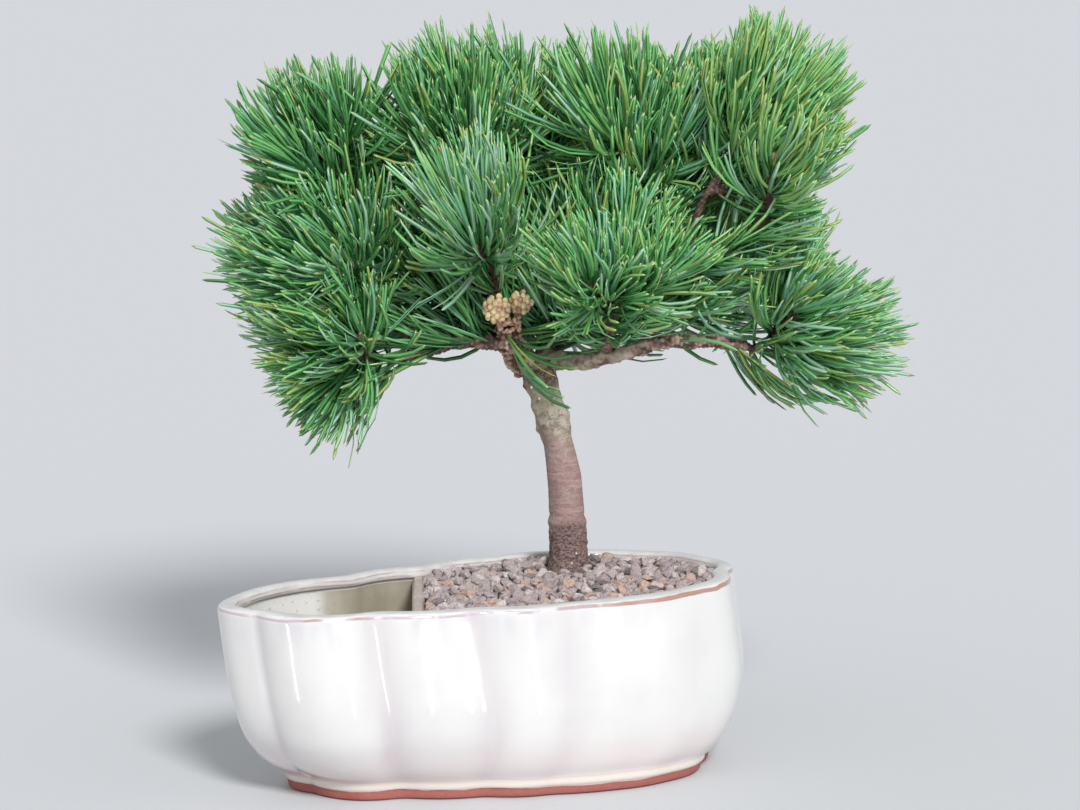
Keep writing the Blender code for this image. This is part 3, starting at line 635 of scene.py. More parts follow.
def trunk_look():
    """Rough purple-brown at the foot, smooth and mauve above it, grey-green below the fork."""
    look = Look("trunk_bark", (0.3, 0.22, 0.19), 0.8)
    waver = look.linear(look.noise(70, 4), 0.034, look.along(2))
    rings = look.noise(150, 5, (0.30, 0.30, 3.0))
    patches = look.noise(190, 6, (1, 1, 1.5))
    fine = look.noise(700, 6, (1, 1, 1.8))
    broad = look.noise(75, 4)
    foot = look.blend(fine, 0.36, 0.62, (0.085, 0.050, 0.047), (0.28, 0.185, 0.17))
    knot = look.blend(look.noise(300, 5), 0.42, 0.58, (0.095, 0.048, 0.035), (0.34, 0.215, 0.165))
    knot = look.layer(knot, look.step(fine, 0.50, 0.62), 0.6, (0.46, 0.37, 0.31))
    colour = look.blend(waver, 0.125, 0.133, foot, smooth_bark(look, rings, broad, patches))
    colour = look.blend(waver, 0.158, 0.180, colour, green_bark(look, broad, patches))
    colour = look.blend(waver, 0.196, 0.204, colour, knot)
    colour = look.layer(colour, look.step(fine, 0.52, 0.70), 0.35, (0.13, 0.09, 0.075))
    relief = look.linear(rings, 0.25, look.maths("ADD", fine, look.times(patches, 0.5)))
    return look.finish(colour, relief, 0.55, 0.0010)


def scaly_look(name, dark, light, edge, low, high):
    """Flaking scales: dark where the relief is low, paler where it is high."""
    look = Look(name, light, 0.82)
    fine = look.noise(900, 4)
    raised = look.linear(look.maths("SUBTRACT", fine, 0.5), (high - low) * 0.7, look.attribute("raised"))
    crest = look.step(raised, 0.6 * high + 0.4 * low, high * 1.3 - low * 0.3)
    colour = look.blend(raised, low, high, dark, light)
    colour = look.layer(colour, crest, look.step(fine, 0.42, 0.58), edge)
    colour = look.layer(colour, look.specks(190, 4, 0.5, 0.66), 0.4, dark)
    return look.finish(colour, fine, 0.5, 0.0008)


def bough_look():
    """Grey-brown bark with reddish spots on the near part of the right bough, scales beyond."""
    look = Look("bough_bark", (0.3, 0.22, 0.18), 0.82)
    patches = look.noise(330, 6)
    fine = look.noise(1100, 5)
    rough = look.linear(look.maths("SUBTRACT", fine, 0.5), 0.9, look.attribute("raised"))
    grey = look.blend(rough, -0.5, 0.4, (0.18, 0.105, 0.080), (0.52, 0.41, 0.335))
    grey = look.layer(grey, look.specks(170, 4, 0.50, 0.60), 0.35, (0.37, 0.325, 0.235))
    grey = look.layer(grey, look.step(patches, 0.54, 0.62), 0.7, (0.30, 0.145, 0.10))
    grey = look.layer(grey, look.step(rough, 0.45, 1.0), 0.7, (0.62, 0.55, 0.47))
    red = look.blend(rough, -0.5, 0.5, (0.10, 0.052, 0.040), (0.38, 0.24, 0.195))
    red = look.layer(red, look.step(rough, 0.4, 0.9), 0.7, (0.60, 0.47, 0.41))
    place = look.linear(look.noise(60, 3), 0.024, look.along(0))
    relief = look.maths("ADD", patches, look.times(fine, 0.6))
    return look.finish(look.blend(place, 0.084, 0.096, grey, red), relief, 0.7, 0.0010)


def needle_look(name, colour, roughness=0.32):
    """A plain colour with a fine grain along its gloss."""
    look = Look(name, colour, roughness, Specular_IOR_Level=0.6, Coat_Weight=0.25, Coat_Roughness=0.18)
    return look.finish(None, look.noise(1500, 2), 0.12, 0.0004)


def bud_look(name, dark, light):
    look = Look(name, light, 0.5, Coat_Weight=0.2, Coat_Roughness=0.2)
    return look.finish(look.blend(look.noise(700, 3), 0.4, 0.62, dark, light), look.cells(900), 0.3, 0.0006)


# Meshes

def add_object(name, data):
    obj = bpy.data.objects.new(name, data)
    bpy.context.scene.collection.objects.link(obj)
    return obj


def add_piece(name, points, faces, materials, slot, slots=None, smooth=True, replaced=()):
    """A mesh in metres from points in millimetres, riding on the root body."""
    mesh = bpy.data.meshes.new(name)
    mesh.from_pydata((np.asarray(points, float) * MM).tolist(), [], faces)
    for item in materials:
        mesh.materials.append(item)
    if slots is not None:
        mesh.polygons.foreach_set("material_index", np.asarray(slots, np.int32))
    mesh.polygons.foreach_set("use_smooth", np.full(len(mesh.polygons), smooth))
    mesh.update()
    obj = add_object(name, mesh)
    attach(obj, "root")
    if replaced:
        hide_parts(*replaced)
    return obj


def keep_values(obj, name, values):
    """Stores a value for each point, for a material to read."""
    kept = obj.data.attributes.new(name, "FLOAT", "POINT")
    kept.data.foreach_set("value", np.asarray(values, np.float32))


class Parts:
    """Meshes to be joined, with each face's material and, for bark, how far each point is raised."""

    def __init__(self):
        self.points, self.faces, self.slots, self.raised = [], [], [], []
        self.count = 0

    def add(self, points, faces, raised=None, slots=0):
        self.faces += [[index + self.count for index in face] for face in faces]
        self.slots += slots if isinstance(slots, list) else [slots] * len(faces)
        self.points.append(points)
        self.count += len(points)
        if raised is not None:
            self.raised.append(raised)

    def piece(self, name, materials, slot, **settings):
        made = add_piece(name, np.vstack(self.points), self.faces, materials, slot, self.slots, **settings)
        if self.raised:
            keep_values(made, "raised", np.concatenate(self.raised))


def ring_faces(rows, columns):
    """Quads of a tube of rings with open ends."""
    low = np.arange(rows - 1)[:, None] * columns + np.arange(columns)[None, :]
    after = np.arange(rows - 1)[:, None] * columns + (np.arange(columns)[None, :] + 1) % columns
    return np.stack([low, after, after + columns, low + columns], -1).reshape(-1, 4).tolist()


def tube_faces(rows, columns):
    """Faces of a tube of rings with a flat face at each end."""
    ends = [tuple(range(columns))[::-1], tuple(range((rows - 1) * columns, rows * columns))]
    return ring_faces(rows, columns) + ends


def fan_faces(rows, columns):
    """Triangles from a tube's end rings to the two points that follow its own."""
    count = rows * columns
    last = count - columns
    faces = []
    for index in range(columns):
        after = (index + 1) % columns
        faces.append((after, index, count))
        faces.append((last + index, last + after, count + 1))
    return faces


def stretches(points):
    """The length of each stretch of a path, and how far along it each point lies."""
    lengths = np.linalg.norm(np.diff(points, axis=0), axis=1)
    return lengths, np.concatenate([[0.0], np.cumsum(lengths)])


def read_rows(rows, travel, places):
    """Rows of numbers read at places along a path."""
    return np.stack([np.interp(places, travel, rows[:, k]) for k in range(rows.shape[1])], 1)


def smooth_rows(rows, steps):
    """Rows of numbers along a smooth curve through the given ones."""
    rows = np.asarray(rows, float)
    ends = np.vstack([rows[0] * 2 - rows[1], rows, rows[-1] * 2 - rows[-2]])
    made = []
    for a, b, c, d in zip(ends, ends[1:], ends[2:], ends[3:]):
        for t in np.arange(steps) / steps:
            made.append(0.5 * (2 * b + (c - a) * t + (2 * a - 5 * b + 4 * c - d) * t * t
                               + (3 * b - a - 3 * c + d) * t ** 3))
    made.append(rows[-1])
    return np.array(made)


def even_rows(rows, spacing):
    """The same curve at an even spacing, and how far along it each row lies."""
    rows = smooth_rows(rows, 12)
    travel = stretches(rows[:, :3])[1]
    count = max(4, int(round(travel[-1] / spacing)) + 1)
    places = np.linspace(0, travel[-1], count)
    return read_rows(rows, travel, places), places


def noise_at(points, scale):
    return np.array([noise.noise(Vector(point) / scale) for point in points])


def unit(vector):
    return vector / np.linalg.norm(vector)


def units(vectors):
    return vectors / np.linalg.norm(vectors, axis=-1)[..., None]


# Pot

def blurred(points, reach):
    """A closed row of points smoothed along itself, with a reach in steps."""
    offsets = np.arange(-int(reach * 3) - 1, int(reach * 3) + 2)
    weights = np.exp(-0.5 * (offsets / reach) ** 2)
    weights /= weights.sum()
    return sum(weight * np.roll(points, -offset, axis=0) for offset, weight in zip(offsets, weights))


def lobed_rim():
    """Points of the rim's arcs, from valley to valley and back to the first."""
    points = []
    for index, (x, y, swell) in enumerate(RIM_LOBES):
        start = Vector((x, y))
        end = Vector(RIM_LOBES[(index + 1) % len(RIM_LOBES)][:2])
        outward = Vector((end.y - start.y, start.x - end.x)).normalized()
        for step in range(ARC_STEPS):
            share = step / ARC_STEPS
            points.append(start.lerp(end, share) + outward * (swell * math.sin(math.pi * share) ** 0.8))
    points.append(points[0])
    return np.array([tuple(point) for point in points])


def rim_outline():
    """The lobed outline of the rim, evenly spaced, its valleys softened."""
    closed = lobed_rim()
    travel = stretches(closed)[1]
    even = read_rows(closed, travel, np.linspace(0, travel[-1], OUTLINE_POINTS, endpoint=False))
    step = travel[-1] / OUTLINE_POINTS
    crease = np.exp(-np.sum((even - np.array(RIM_LOBES[0][:2])) ** 2, axis=1) / CREASE_REACH ** 2)[:, None]
    front = (np.clip(even[:, 0] / 25, 0, 1) * np.clip((-even[:, 1] - 20) / 15, 0, 1))[:, None]
    soft = blurred(even, VALLEY_SOFTNESS / step) * (1 - front) + blurred(even, FRONT_SOFTNESS / step) * front
    return soft * (1 - crease) + blurred(even, CREASE_SOFTNESS / step) * crease


def valley_depth(outline):
    """How far each point of the outline lies in a valley, from 0 to 1."""
    hollow = np.roll(outline, 4, axis=0) + np.roll(outline, -4, axis=0) - 2 * outline
    ahead = np.roll(outline, -1, axis=0) - np.roll(outline, 1, axis=0)
    outward = units(np.stack([ahead[:, 1], -ahead[:, 0]], 1))
    depth = np.clip(np.sum(hollow * outward, axis=1) / FULL_VALLEY, 0, 1)
    return np.clip(blurred(depth[:, None], 3.0)[:, 0] * 1.6, 0, 1)


OUTLINE = rim_outline()
PROFILE = smooth_rows(WALL_PROFILE, 5)


def ring(height, inset=0.0):
    """The pot's outline at a height, drawn in by the inset."""
    scale, shift, turn = (np.interp(height, PROFILE[:, 0], PROFILE[:, k]) for k in (1, 2, 3))
    turn = math.radians(turn)
    x = OUTLINE[:, 0] * (scale - inset / HALF_LENGTH)
    y = OUTLINE[:, 1] * (scale - inset / HALF_WIDTH)
    return np.stack([x * math.cos(turn) - y * math.sin(turn) + shift,
                     x * math.sin(turn) + y * math.cos(turn), np.full(len(x), height)], 1)


def make_pot():
    """One skin from the underside up the wall, over the rim and down to the basin's floor."""
    outer = [*FOOT_SECTION, *((height, 0.0) for height in WALL_HEIGHTS), *RIM_EDGE]
    inner = [*((height, WALL) for height in INNER_HEIGHTS), *BASIN_CURVE]
    sections = [*outer, *RIM_TOP, *inner]
    slots = []
    for glaze, part in enumerate((outer, RIM_TOP, inner[1:])):
        slots += [glaze] * len(part) * OUTLINE_POINTS
    slots += [0, 2] * OUTLINE_POINTS
    middles = [(9.0, 0.0, 0.0), (0.0, 0.0, BASIN_FLOOR)]
    points = np.vstack([*(ring(*section) for section in sections), middles])
    faces = ring_faces(len(sections), OUTLINE_POINTS) + fan_faces(len(sections), OUTLINE_POINTS)
    materials = [glaze_wall(), glaze_rim(), basin_glaze_and_shade()]
    pot = add_piece("pot_glazed", points, faces, materials, "pot_glaze", slots, replaced=("pot",))
    # How deep each point lies in a valley, read by the wall's glaze for its painted shade
    keep_values(pot, "valley", np.append(np.tile(valley_depth(OUTLINE), len(sections)), (0.0, 0.0)))


def wall_hit(height, inset, side, out):
    """How far along the divider's face, to one side, the pot's wall is at a height."""
    outline = ring(height, inset)[:, :2] - DIVIDER_CENTRE
    across = outline @ DIVIDER_NORMAL - out
    travel = outline @ DIVIDER_ALONG
    hits = [travel[i] + (travel[i - 1] - travel[i]) * across[i] / (across[i] - across[i - 1])
            for i in range(len(across)) if across[i] * across[i - 1] < 0]
    return max(hit * side for hit in hits) * side


def make_divider():
    """A slab with a rounded, slightly uneven top, let into the wall at both ends."""
    points = []
    for share in np.linspace(0, 1, DIVIDER_STEPS):
        for half, height in DIVIDER_SECTION:
            out = half * DIVIDER_HALF
            low, high = (wall_hit(max(height, BASIN_FLOOR), WALL - 0.8, side, out) for side in (-1, 1))
            place = DIVIDER_CENTRE + DIVIDER_NORMAL * out + DIVIDER_ALONG * (low + (high - low) * share)
            lift = 0.9 * noise.noise(Vector((*place, 0.0)) / 14.0) if height > 80 else 0.0
            points.append((*place, height + lift))
    faces = tube_faces(DIVIDER_STEPS, len(DIVIDER_SECTION))
    add_piece("pot_divider", points, faces, [glaze_divider()], "pot_glaze")


# Gravel

def inside(points, outline):
    """Whether each point lies inside a closed outline."""
    x, y = points[:, 0][:, None], points[:, 1][:, None]
    ax, ay = outline[:, 0], outline[:, 1]
    bx, by = np.roll(ax, -1), np.roll(ay, -1)
    crosses = (ay > y) != (by > y)
    slope = (bx - ax) * (y - ay) / np.where(by == ay, 1e-9, by - ay) + ax
    return (np.sum(crosses & (x < slope), axis=1) % 2) == 1


def gravel_height(x, y):
    """The gravel's surface: a low mound with a hollow on the trunk's left."""
    height = GRAVEL_LEVEL
    for (middle_x, middle_y), rise, reach in GRAVEL_SWELLS:
        height = height + rise * np.exp(-((x - middle_x) ** 2 + (y - middle_y) ** 2) / reach ** 2)
    return height


def stone_shape(rng):
    """A crushed stone of about unit size: a hull with narrow bevels."""
    bm = bmesh.new()
    for _ in range(STONE_CORNERS):
        direction = Vector((rng.gauss(0, 1), rng.gauss(0, 1), rng.gauss(0, 1))).normalized()
        size = rng.uniform(0.78, 1.05)
        bm.verts.new(Vector([part * axis for part, axis in zip(direction, STONE_AXES)]) * size)
    bmesh.ops.convex_hull(bm, input=bm.verts)
    bmesh.ops.delete(bm, geom=[vert for vert in bm.verts if not vert.link_faces], context="VERTS")
    bmesh.ops.bevel(bm, geom=bm.edges[:], offset=0.045, segments=1, affect="EDGES", clamp_overlap=True)
    bmesh.ops.recalc_face_normals(bm, faces=bm.faces)
    bm.verts.index_update()
    points = np.array([tuple(vert.co) for vert in bm.verts])
    faces = [[vert.index for vert in face.verts] for face in bm.faces]
    bm.free()
    return points, faces


def scatter(spread, inset, off, spacing, tries):
    """Points of the planted side at least a spacing apart, from seeded tries."""
    low, high = STONE_FIELD
    tried = low + spread.random((tries, 2)) * (high - low)
    beyond = (tried - DIVIDER_CENTRE) @ DIVIDER_NORMAL > DIVIDER_HALF + off
    kept = []
    for point in tried[inside(tried, ring(SOIL_TOP, inset)[:, :2]) & beyond]:
        if not kept or np.min(np.sum((np.array(kept) - point) ** 2, axis=1)) > spacing ** 2:
            kept.append(point)
    return kept


def placed_stone(rng, shapes, sizes, place, lift):
    """A stone's points at its size, tumbled and set on the surface."""
    size = rng.uniform(*sizes)
    points, faces = rng.choice(shapes)
    spin = Matrix.Rotation(rng.uniform(0, FULL_TURN), 3, "Z")
    for axis in "XY":
        spin = spin @ Matrix.Rotation(rng.uniform(-STONE_TIP, STONE_TIP), 3, axis)
    height = gravel_height(*place) + (rng.uniform(-0.8, 0.9) + lift)
    return points @ np.array(spin).T * size + np.array((*place, height)), faces


def make_gravel():
    rng = random.Random(41)
    spread = np.random.default_rng(41)
    shapes = [stone_shape(rng) for _ in range(STONE_SHAPES)]
    weights = [share for _, _, share in STONES.values()]
    parts = Parts()
    for inset, off, spacing, tries, sizes, lift in STONE_LAYERS:
        for place in scatter(spread, inset, off, spacing, tries):
            if np.linalg.norm(place - TRUNK_FOOT) < TRUNK_CLEARANCE:
                continue
            points, faces = placed_stone(rng, shapes, sizes, place, lift)
            parts.add(points, faces, slots=rng.choices(range(len(STONES)), weights)[0])
    looks = [stone_look(name, light, dark) for name, (light, dark, _) in STONES.items()]
    parts.piece("gravel", looks, "soil", smooth=False)


def make_bed():
    """The grit under the stones, a closed block with an uneven top."""
    outline = ring(*BED_EDGE)[:, :2]
    face = DIVIDER_HALF + GAP
    ends = [wall_hit(*BED_EDGE, side, face) for side in (-1, 1)]
    travel = np.clip((outline - DIVIDER_CENTRE) @ DIVIDER_ALONG, *ends)
    beside = DIVIDER_CENTRE + DIVIDER_NORMAL * face + DIVIDER_ALONG * travel[:, None]
    moved = np.where(((outline - DIVIDER_CENTRE) @ DIVIDER_NORMAL < face)[:, None], beside, outline)
    rows = [np.column_stack([moved, np.full(len(moved), BED_BASE)])]
    for share in BED_RINGS:
        place = BED_MIDDLE + (moved - BED_MIDDLE) * share
        height = [gravel_height(x, y) - BED_DROP + 0.8 * noise.noise(Vector((x, y, 0)) / 5.0)
                  for x, y in place]
        rows.append(np.column_stack([place, height]))
    middles = [(*BED_MIDDLE, BED_BASE), (*BED_MIDDLE, gravel_height(*BED_MIDDLE) - BED_DROP)]
    faces = ring_faces(len(rows), len(moved)) + fan_faces(len(rows), len(moved))
    add_piece("grit_bed", np.vstack([*rows, middles]), faces, [grit_look()], "soil", replaced=("soil",))


# Trunk and boughs

def ring_directions(rows, sides):
    """Directions from a limb's middle to the points of its rings, and their angles."""
    ahead = units(np.gradient(rows[:, :3], axis=0))
    across = np.array(Vector(ahead[0]).orthogonal().normalized())
    angles = 2 * math.pi * np.arange(sides) / sides
    outs = []
    for direction in ahead:
        across = unit(across - direction * (direction @ across))
        beside = np.cross(direction, across)
        outs.append(across * np.cos(angles)[:, None] + beside * np.sin(angles)[:, None])
    return np.vstack(outs), angles


def limb_mesh(table, spacing, sides, relief):
    """Points and faces of a closed limb, and how far the relief raises each point."""
    rows, travel = even_rows(table, spacing)
    outward, angles = ring_directions(rows, sides)
    surface = np.repeat(rows[:, :3], sides, axis=0) + outward * np.repeat(rows[:, 3], sides)[:, None]
    raised = relief(surface, np.tile(angles, len(rows)), np.repeat(travel, sides))
    return surface + outward * raised[:, None], tube_faces(len(rows), sides), raised


def cushions(angles, travel, around, pitch, height):
    """Scale-like leaf cushions in spiral rows."""
    row = np.floor(travel / pitch)
    turn = angles / (2 * math.pi) * around + row * 0.5
    across = (turn - np.floor(turn) - 0.5) * 2
    along = travel / pitch - row
    crown = np.clip(1 - across ** 2 * 1.1, 0, 1)
    return height * crown * np.clip(along * 1.25, 0, 1) * np.clip((1 - along) * 7, 0, 1)


def trunk_relief(points, angles, travel):
    """Rough bark under a raised ring at the foot, rings above it, scars and knobs below the fork."""
    z = points[:, 2]
    rings = noise_at(points * np.array((0.30, 0.30, 1.7)), 2.1)
    foot = np.clip((ROUGH_TOP - z) / 5, 0, 1)
    upper = np.clip((z - SCARS_START) / 14, 0, 1)
    moved = rings * (0.10 + 0.12 * foot) + noise_at(points, 2.6) * (0.05 + 0.55 * foot + 0.20 * upper)
    moved += noise_at(points, 4.6) * 0.65 * upper
    moved += 0.50 * foot * noise_at(points, 1.3)
    moved += sum(rise * np.exp(-((z - height) / reach) ** 2) for height, reach, rise in TRUNK_RINGS)
    for place, radius, height in TRUNK_KNOBS:
        moved += height * np.exp(-np.sum((points - np.array(place)) ** 2, axis=1) / radius ** 2)
    return moved


def stub_relief(points, angles, travel):
    scales = cushions(angles, travel, 9, 2.5, 1.2)
    return scales - 1.7 + noise_at(points, 2.0) * 0.9 + noise_at(points, 5.0) * 1.5


def bough_relief(points, angles, travel, scaly=1.0, lumps=0.0):
    scales = cushions(angles, travel, 6, 2.2, 0.75) * scaly
    return scales + noise_at(points, 2.0) * 0.45 + noise_at(points, 5.0) * 0.75 + lumps - 0.25


def right_bough_relief(points, angles, travel):
    """Lumpy and less scaly towards the fork."""
    x = points[:, 0]
    lumps = noise_at(points, 3.2) * 0.9 + 0.45 * np.clip((80 - x) / 20, 0, 1)
    return bough_relief(points, angles, travel, np.clip((x - 66) / 12, 0.25, 1), lumps)


def twig_relief(points, angles, travel):
    return cushions(angles, travel, 5, 2.2, 0.5) + noise_at(points, 2.2) * 0.3


def bud_relief(points, angles, travel):
    return cushions(angles, travel, 5, 1.6, 0.28)


def stalk_relief(points, angles, travel):
    return noise_at(points, 1.5) * 0.3


def make_trunk():
    points, faces, raised = limb_mesh(TRUNK, spacing=0.7, sides=96, relief=trunk_relief)
    points[:, 2] = np.maximum(points[:, 2], TRUNK[0][2])
    parts = Parts()
    parts.add(points, faces, raised)
    parts.piece("trunk_bark", [trunk_look()], "bark", replaced=("trunk",))


def make_stub():
    look = scaly_look("stub_bark", (0.13, 0.065, 0.045), (0.47, 0.30, 0.22), (0.67, 0.56, 0.45), -1.9, -0.8)
    parts = Parts()
    parts.add(*limb_mesh(STUB, spacing=0.6, sides=90, relief=stub_relief))
    parts.piece("stub_bark", [look], "scaly_bark", replaced=("stub",))


def with_collar(name, table):
    """A bough's rows with a thicker foot and one more row behind it, in what it grows from."""
    collar = 5.0 if name in FROM_TRUNK else 1.0
    first = np.array(table[0], float)
    back = first[:3] + unit(first[:3] - np.array(table[1][:3], float)) * collar
    return ((*back, first[3] * 1.35), (*first[:3], first[3] * 1.12), *table[1:])


def make_boughs():
    colours = (0.085, 0.044, 0.034), (0.32, 0.195, 0.155), (0.50, 0.37, 0.31)
    scales = scaly_look("bough_scales", *colours, -0.5, 0.6)
    parts = Parts()
    for name, table in BOUGHS.items():
        relief, slot = (right_bough_relief, 0) if name == "right" else (bough_relief, 1)
        rows = with_collar(name, table)
        parts.add(*limb_mesh(rows, spacing=0.7, sides=26, relief=relief), slots=slot)
    replaced = ["bough_" + name for name in BOUGHS]
    parts.piece("boughs_bark", [bough_look(), scales], "bough_bark", replaced=replaced)


# Shoots, by the source's rule, carried to finer twigs

def leading_shoot(limb, points):
    """The path of a mass's stem, from just past its limb's tip."""
    rows = smooth_rows(LIMBS[limb], 2)[:, :3]
    ahead = unit(rows[-1] - rows[-2])
    return np.array([rows[-1] + ahead * GAP, rows[-1] + ahead * 4.0, *points])


def point_along(path, share):
    """The point and direction at a share of a path's length."""
    lengths = stretches(path)[0]
    left = share * lengths.sum()
    for a, b, length in zip(path, path[1:], lengths):
        if left <= length:
            return a + (b - a) * left / length, (b - a) / length
        left -= length
    return path[-1], (path[-1] - path[-2]) / lengths[-1]


def tilted(direction, tilt, turn):
    """A direction tilted by an angle from another, at a turn round it."""
    across = np.cross(direction, UP)
    if np.linalg.norm(across) < 0.1:
        across = np.cross(direction, (1.0, 0.0, 0.0))
    across = unit(across)
    side = across * math.cos(turn) + np.cross(direction, across) * math.sin(turn)
    return unit(direction * math.cos(tilt) + side * math.sin(tilt))


def side_shoot(lead, kind, index, tilt, turn):
    """The path of a shoot that leaves the leading one and bends up."""
    length, highest, drop = kind
    foot, direction = point_along(lead, highest - drop * index)
    heading = tilted(direction, math.radians(tilt), turn)
    middle = foot + heading * length * 0.6
    return np.array([foot, middle, middle + unit(heading + UP * 0.35) * length * 0.4])


def shoots_of(row):
    """The leading shoot, the side shoots and the finer twigs of a mass, where the crown has them."""
    limb, points, sides, tilt, _, turn, twigs, _, _ = row
    lead = leading_shoot(limb, points)
    shoots = []
    for index in range(sides + twigs):
        turned = math.radians(turn) + index * GOLDEN
        if index < sides:
            shoots.append(side_shoot(lead, SIDE_SHOOT, index, tilt, turned))
        else:
            shoots.append(side_shoot(lead, TWIG, index - sides, tilt - TWIG_CLOSER, turned))
    return [lead] + [shoot for shoot in shoots if in_crown(shoot[-1:])[0]]


def make_twigs(shoots):
    """The scaly bark of every shoot."""
    parts = Parts()
    for shoot in shoots:
        rows = np.column_stack([shoot, np.linspace(*TWIG_RADII, len(shoot))])
        parts.add(*limb_mesh(rows, spacing=1.1, sides=10, relief=twig_relief))
    look = scaly_look("twig_bark", (0.055, 0.030, 0.024), (0.22, 0.125, 0.10), (0.38, 0.26, 0.21), -0.1, 0.45)
    parts.piece("twigs_bark", [look], "bough_bark")


def make_buds(shoots):
    """A resting bud at the tip of each shoot."""
    rng = random.Random(7)
    parts = Parts()
    for shoot in shoots:
        ahead = unit(shoot[-1] - shoot[-2])
        length = rng.uniform(*BUD_LENGTHS)
        width = rng.uniform(*BUD_WIDTHS)
        rows = [(*(shoot[-1] + ahead * (share * length if share > 0 else share)), width * size)
                for share, size in BUD_SECTION]
        parts.add(*limb_mesh(rows, spacing=0.8, sides=12, relief=bud_relief)[:2])
    parts.piece("buds", [bud_look("bud_scales", (0.22, 0.085, 0.065), (0.46, 0.26, 0.22))], "bough_bark")


# The front view

def front_view(points):
    """Where points fall in the front view, and how far off they are."""
    turn, dip = math.radians(CAMERA_TURN), math.radians(CAMERA_DIP)
    ahead = np.array((math.sin(turn) * math.cos(dip), math.cos(turn) * math.cos(dip), -math.sin(dip)))
    right = np.array((math.cos(turn), -math.sin(turn), 0.0))
    above = np.cross(right, ahead)
    offset = np.asarray(points, float) - CAMERA_PLACE
    depth = offset @ ahead
    scale = CAMERA_LENS * VIEW_WIDTH / SENSOR_WIDTH / depth
    flat = np.stack([VIEW_WIDTH / 2 + offset @ right * scale, VIEW_HEIGHT / 2 - offset @ above * scale], -1)
    return flat, depth


def in_crown(points, slack=0.0):
    """Whether each point lies within the crown's outline in the front view."""
    return inside(front_view(points)[0] + slack, CROWN_OUTLINE)


def blocks_view(points, rng):
    """Whether a needle's points cross the cones or the bare limbs, seen from the front."""
    hidden = np.zeros(len(points), bool)
    flat, depth = front_view(points)
    for start, end, radius in OPEN_LIMBS:
        ends, depths = front_view([start, end])
        span = ends[1] - ends[0]
        share = np.clip((flat - ends[0]) @ span / (span @ span), 0, 1)
        distance = np.linalg.norm(flat - ends[0] - share[:, None] * span, axis=1)
        hidden |= (distance < radius * VIEW_SCALE) & (depth < depths.mean())
    return hidden & (rng.random(len(points)) < HIDDEN_SHARE)


def kept_share(root, headings, reach, rng):
    """The share of each needle that stays within the crown's outline."""
    slack = rng.normal(0, OUTLINE_SLACK, (len(root), 2))
    kept = np.full(len(root), 0.3)
    going = np.ones(len(root), bool)
    for share in KEPT_LENGTHS:
        going &= in_crown(needle_place(root, headings, reach, share), slack)
        kept[going] = share
    cut = ~going & (kept < 0.85) & (rng.random(len(root)) < 0.35)
    return np.where(going, kept, np.where(cut, 0.0, kept * rng.uniform(0.86, 1.02, len(root))))


# Needles

def limb_segments():
    """Starts, ends and radii of the stretches of every limb and of the cones."""
    starts, ends, radii = [], [], []
    for rows in (TRUNK, STUB, *BOUGHS.values()):
        rows = smooth_rows(rows, 3)
        starts.append(rows[:-1, :3])
        ends.append(rows[1:, :3])
        radii.append(rows[:-1, 3] + 1.1)
    for centre, _, radius, bud, _, _ in CONES.values():
        starts.append([centre])
        ends.append([np.array(centre) + (0, 0, 0.5)])
        radii.append([radius + bud + 1.4])
    return np.vstack(starts), np.vstack(ends), np.concatenate(radii)


SEGMENTS = limb_segments()


def clear_of_limbs(points):
    """Whether each point stands off every limb."""
    starts, ends, radii = SEGMENTS
    spans = ends - starts
    offset = points[:, None, :] - starts[None]
    share = np.clip(np.sum(offset * spans[None], axis=2) / np.sum(spans ** 2, axis=1), 0, 1)
    return np.all(np.linalg.norm(offset - share[..., None] * spans[None], axis=2) > radii, axis=1)


def held(start, heading, least):
    """A heading brought back towards the start where it turns from it too sharply."""
    heading = units(heading)
    return heading + start * np.clip(least - np.sum(start * heading, axis=1), 0, 1.2)[:, None]


def feet_along(path, shares):
    """Points at shares of a path's length, and the path's direction there."""
    lengths, travel = stretches(path)
    places = shares * travel[-1]
    index = np.clip(np.searchsorted(travel, places, side="right") - 1, 0, len(lengths) - 1)
    local = (places - travel[index]) / lengths[index]
    root = path[index] + (path[index + 1] - path[index]) * local[:, None]
    return root, units(np.diff(path, axis=0))[index]


def outward_from(axis, turn):
    """Directions square to each axis, at a turn round it."""
    across = units(np.cross(axis, np.where(np.abs(axis[:, 2:3]) > 0.95, (1.0, 0.0, 0.0), UP)))
    over = np.cross(axis, across)
    return across * np.cos(turn)[:, None] + over * np.sin(turn)[:, None]


def needle_headings(rng, root, axis, out, tilt, lean):
    """Where each pair of needles heads at its foot, its middle and its end."""
    pairs = len(root)
    start = units(axis * np.cos(tilt)[:, None] + out * np.sin(tilt)[:, None] + lean * 0.85)
    read = root + out * DRIFT_REACH
    drift = np.stack([noise_at(read + offset, DRIFT_SCALE) for offset in DRIFT_OFFSETS], 1)
    onward = axis * rng.uniform(0.40, 1.00, (pairs, 1)) + UP * rng.uniform(0.0, 0.45, (pairs, 1))
    middle = start * 0.90 + onward * 0.30 + lean * 0.6 + drift * 0.35 + rng.normal(0, 0.14, (pairs, 3))
    end = start * 0.40 + onward + lean * 0.7 + drift * 0.80 + rng.normal(0, 0.26, (pairs, 3))
    return start, held(start, middle, MIDDLE_TURN), held(start, end, END_TURN)


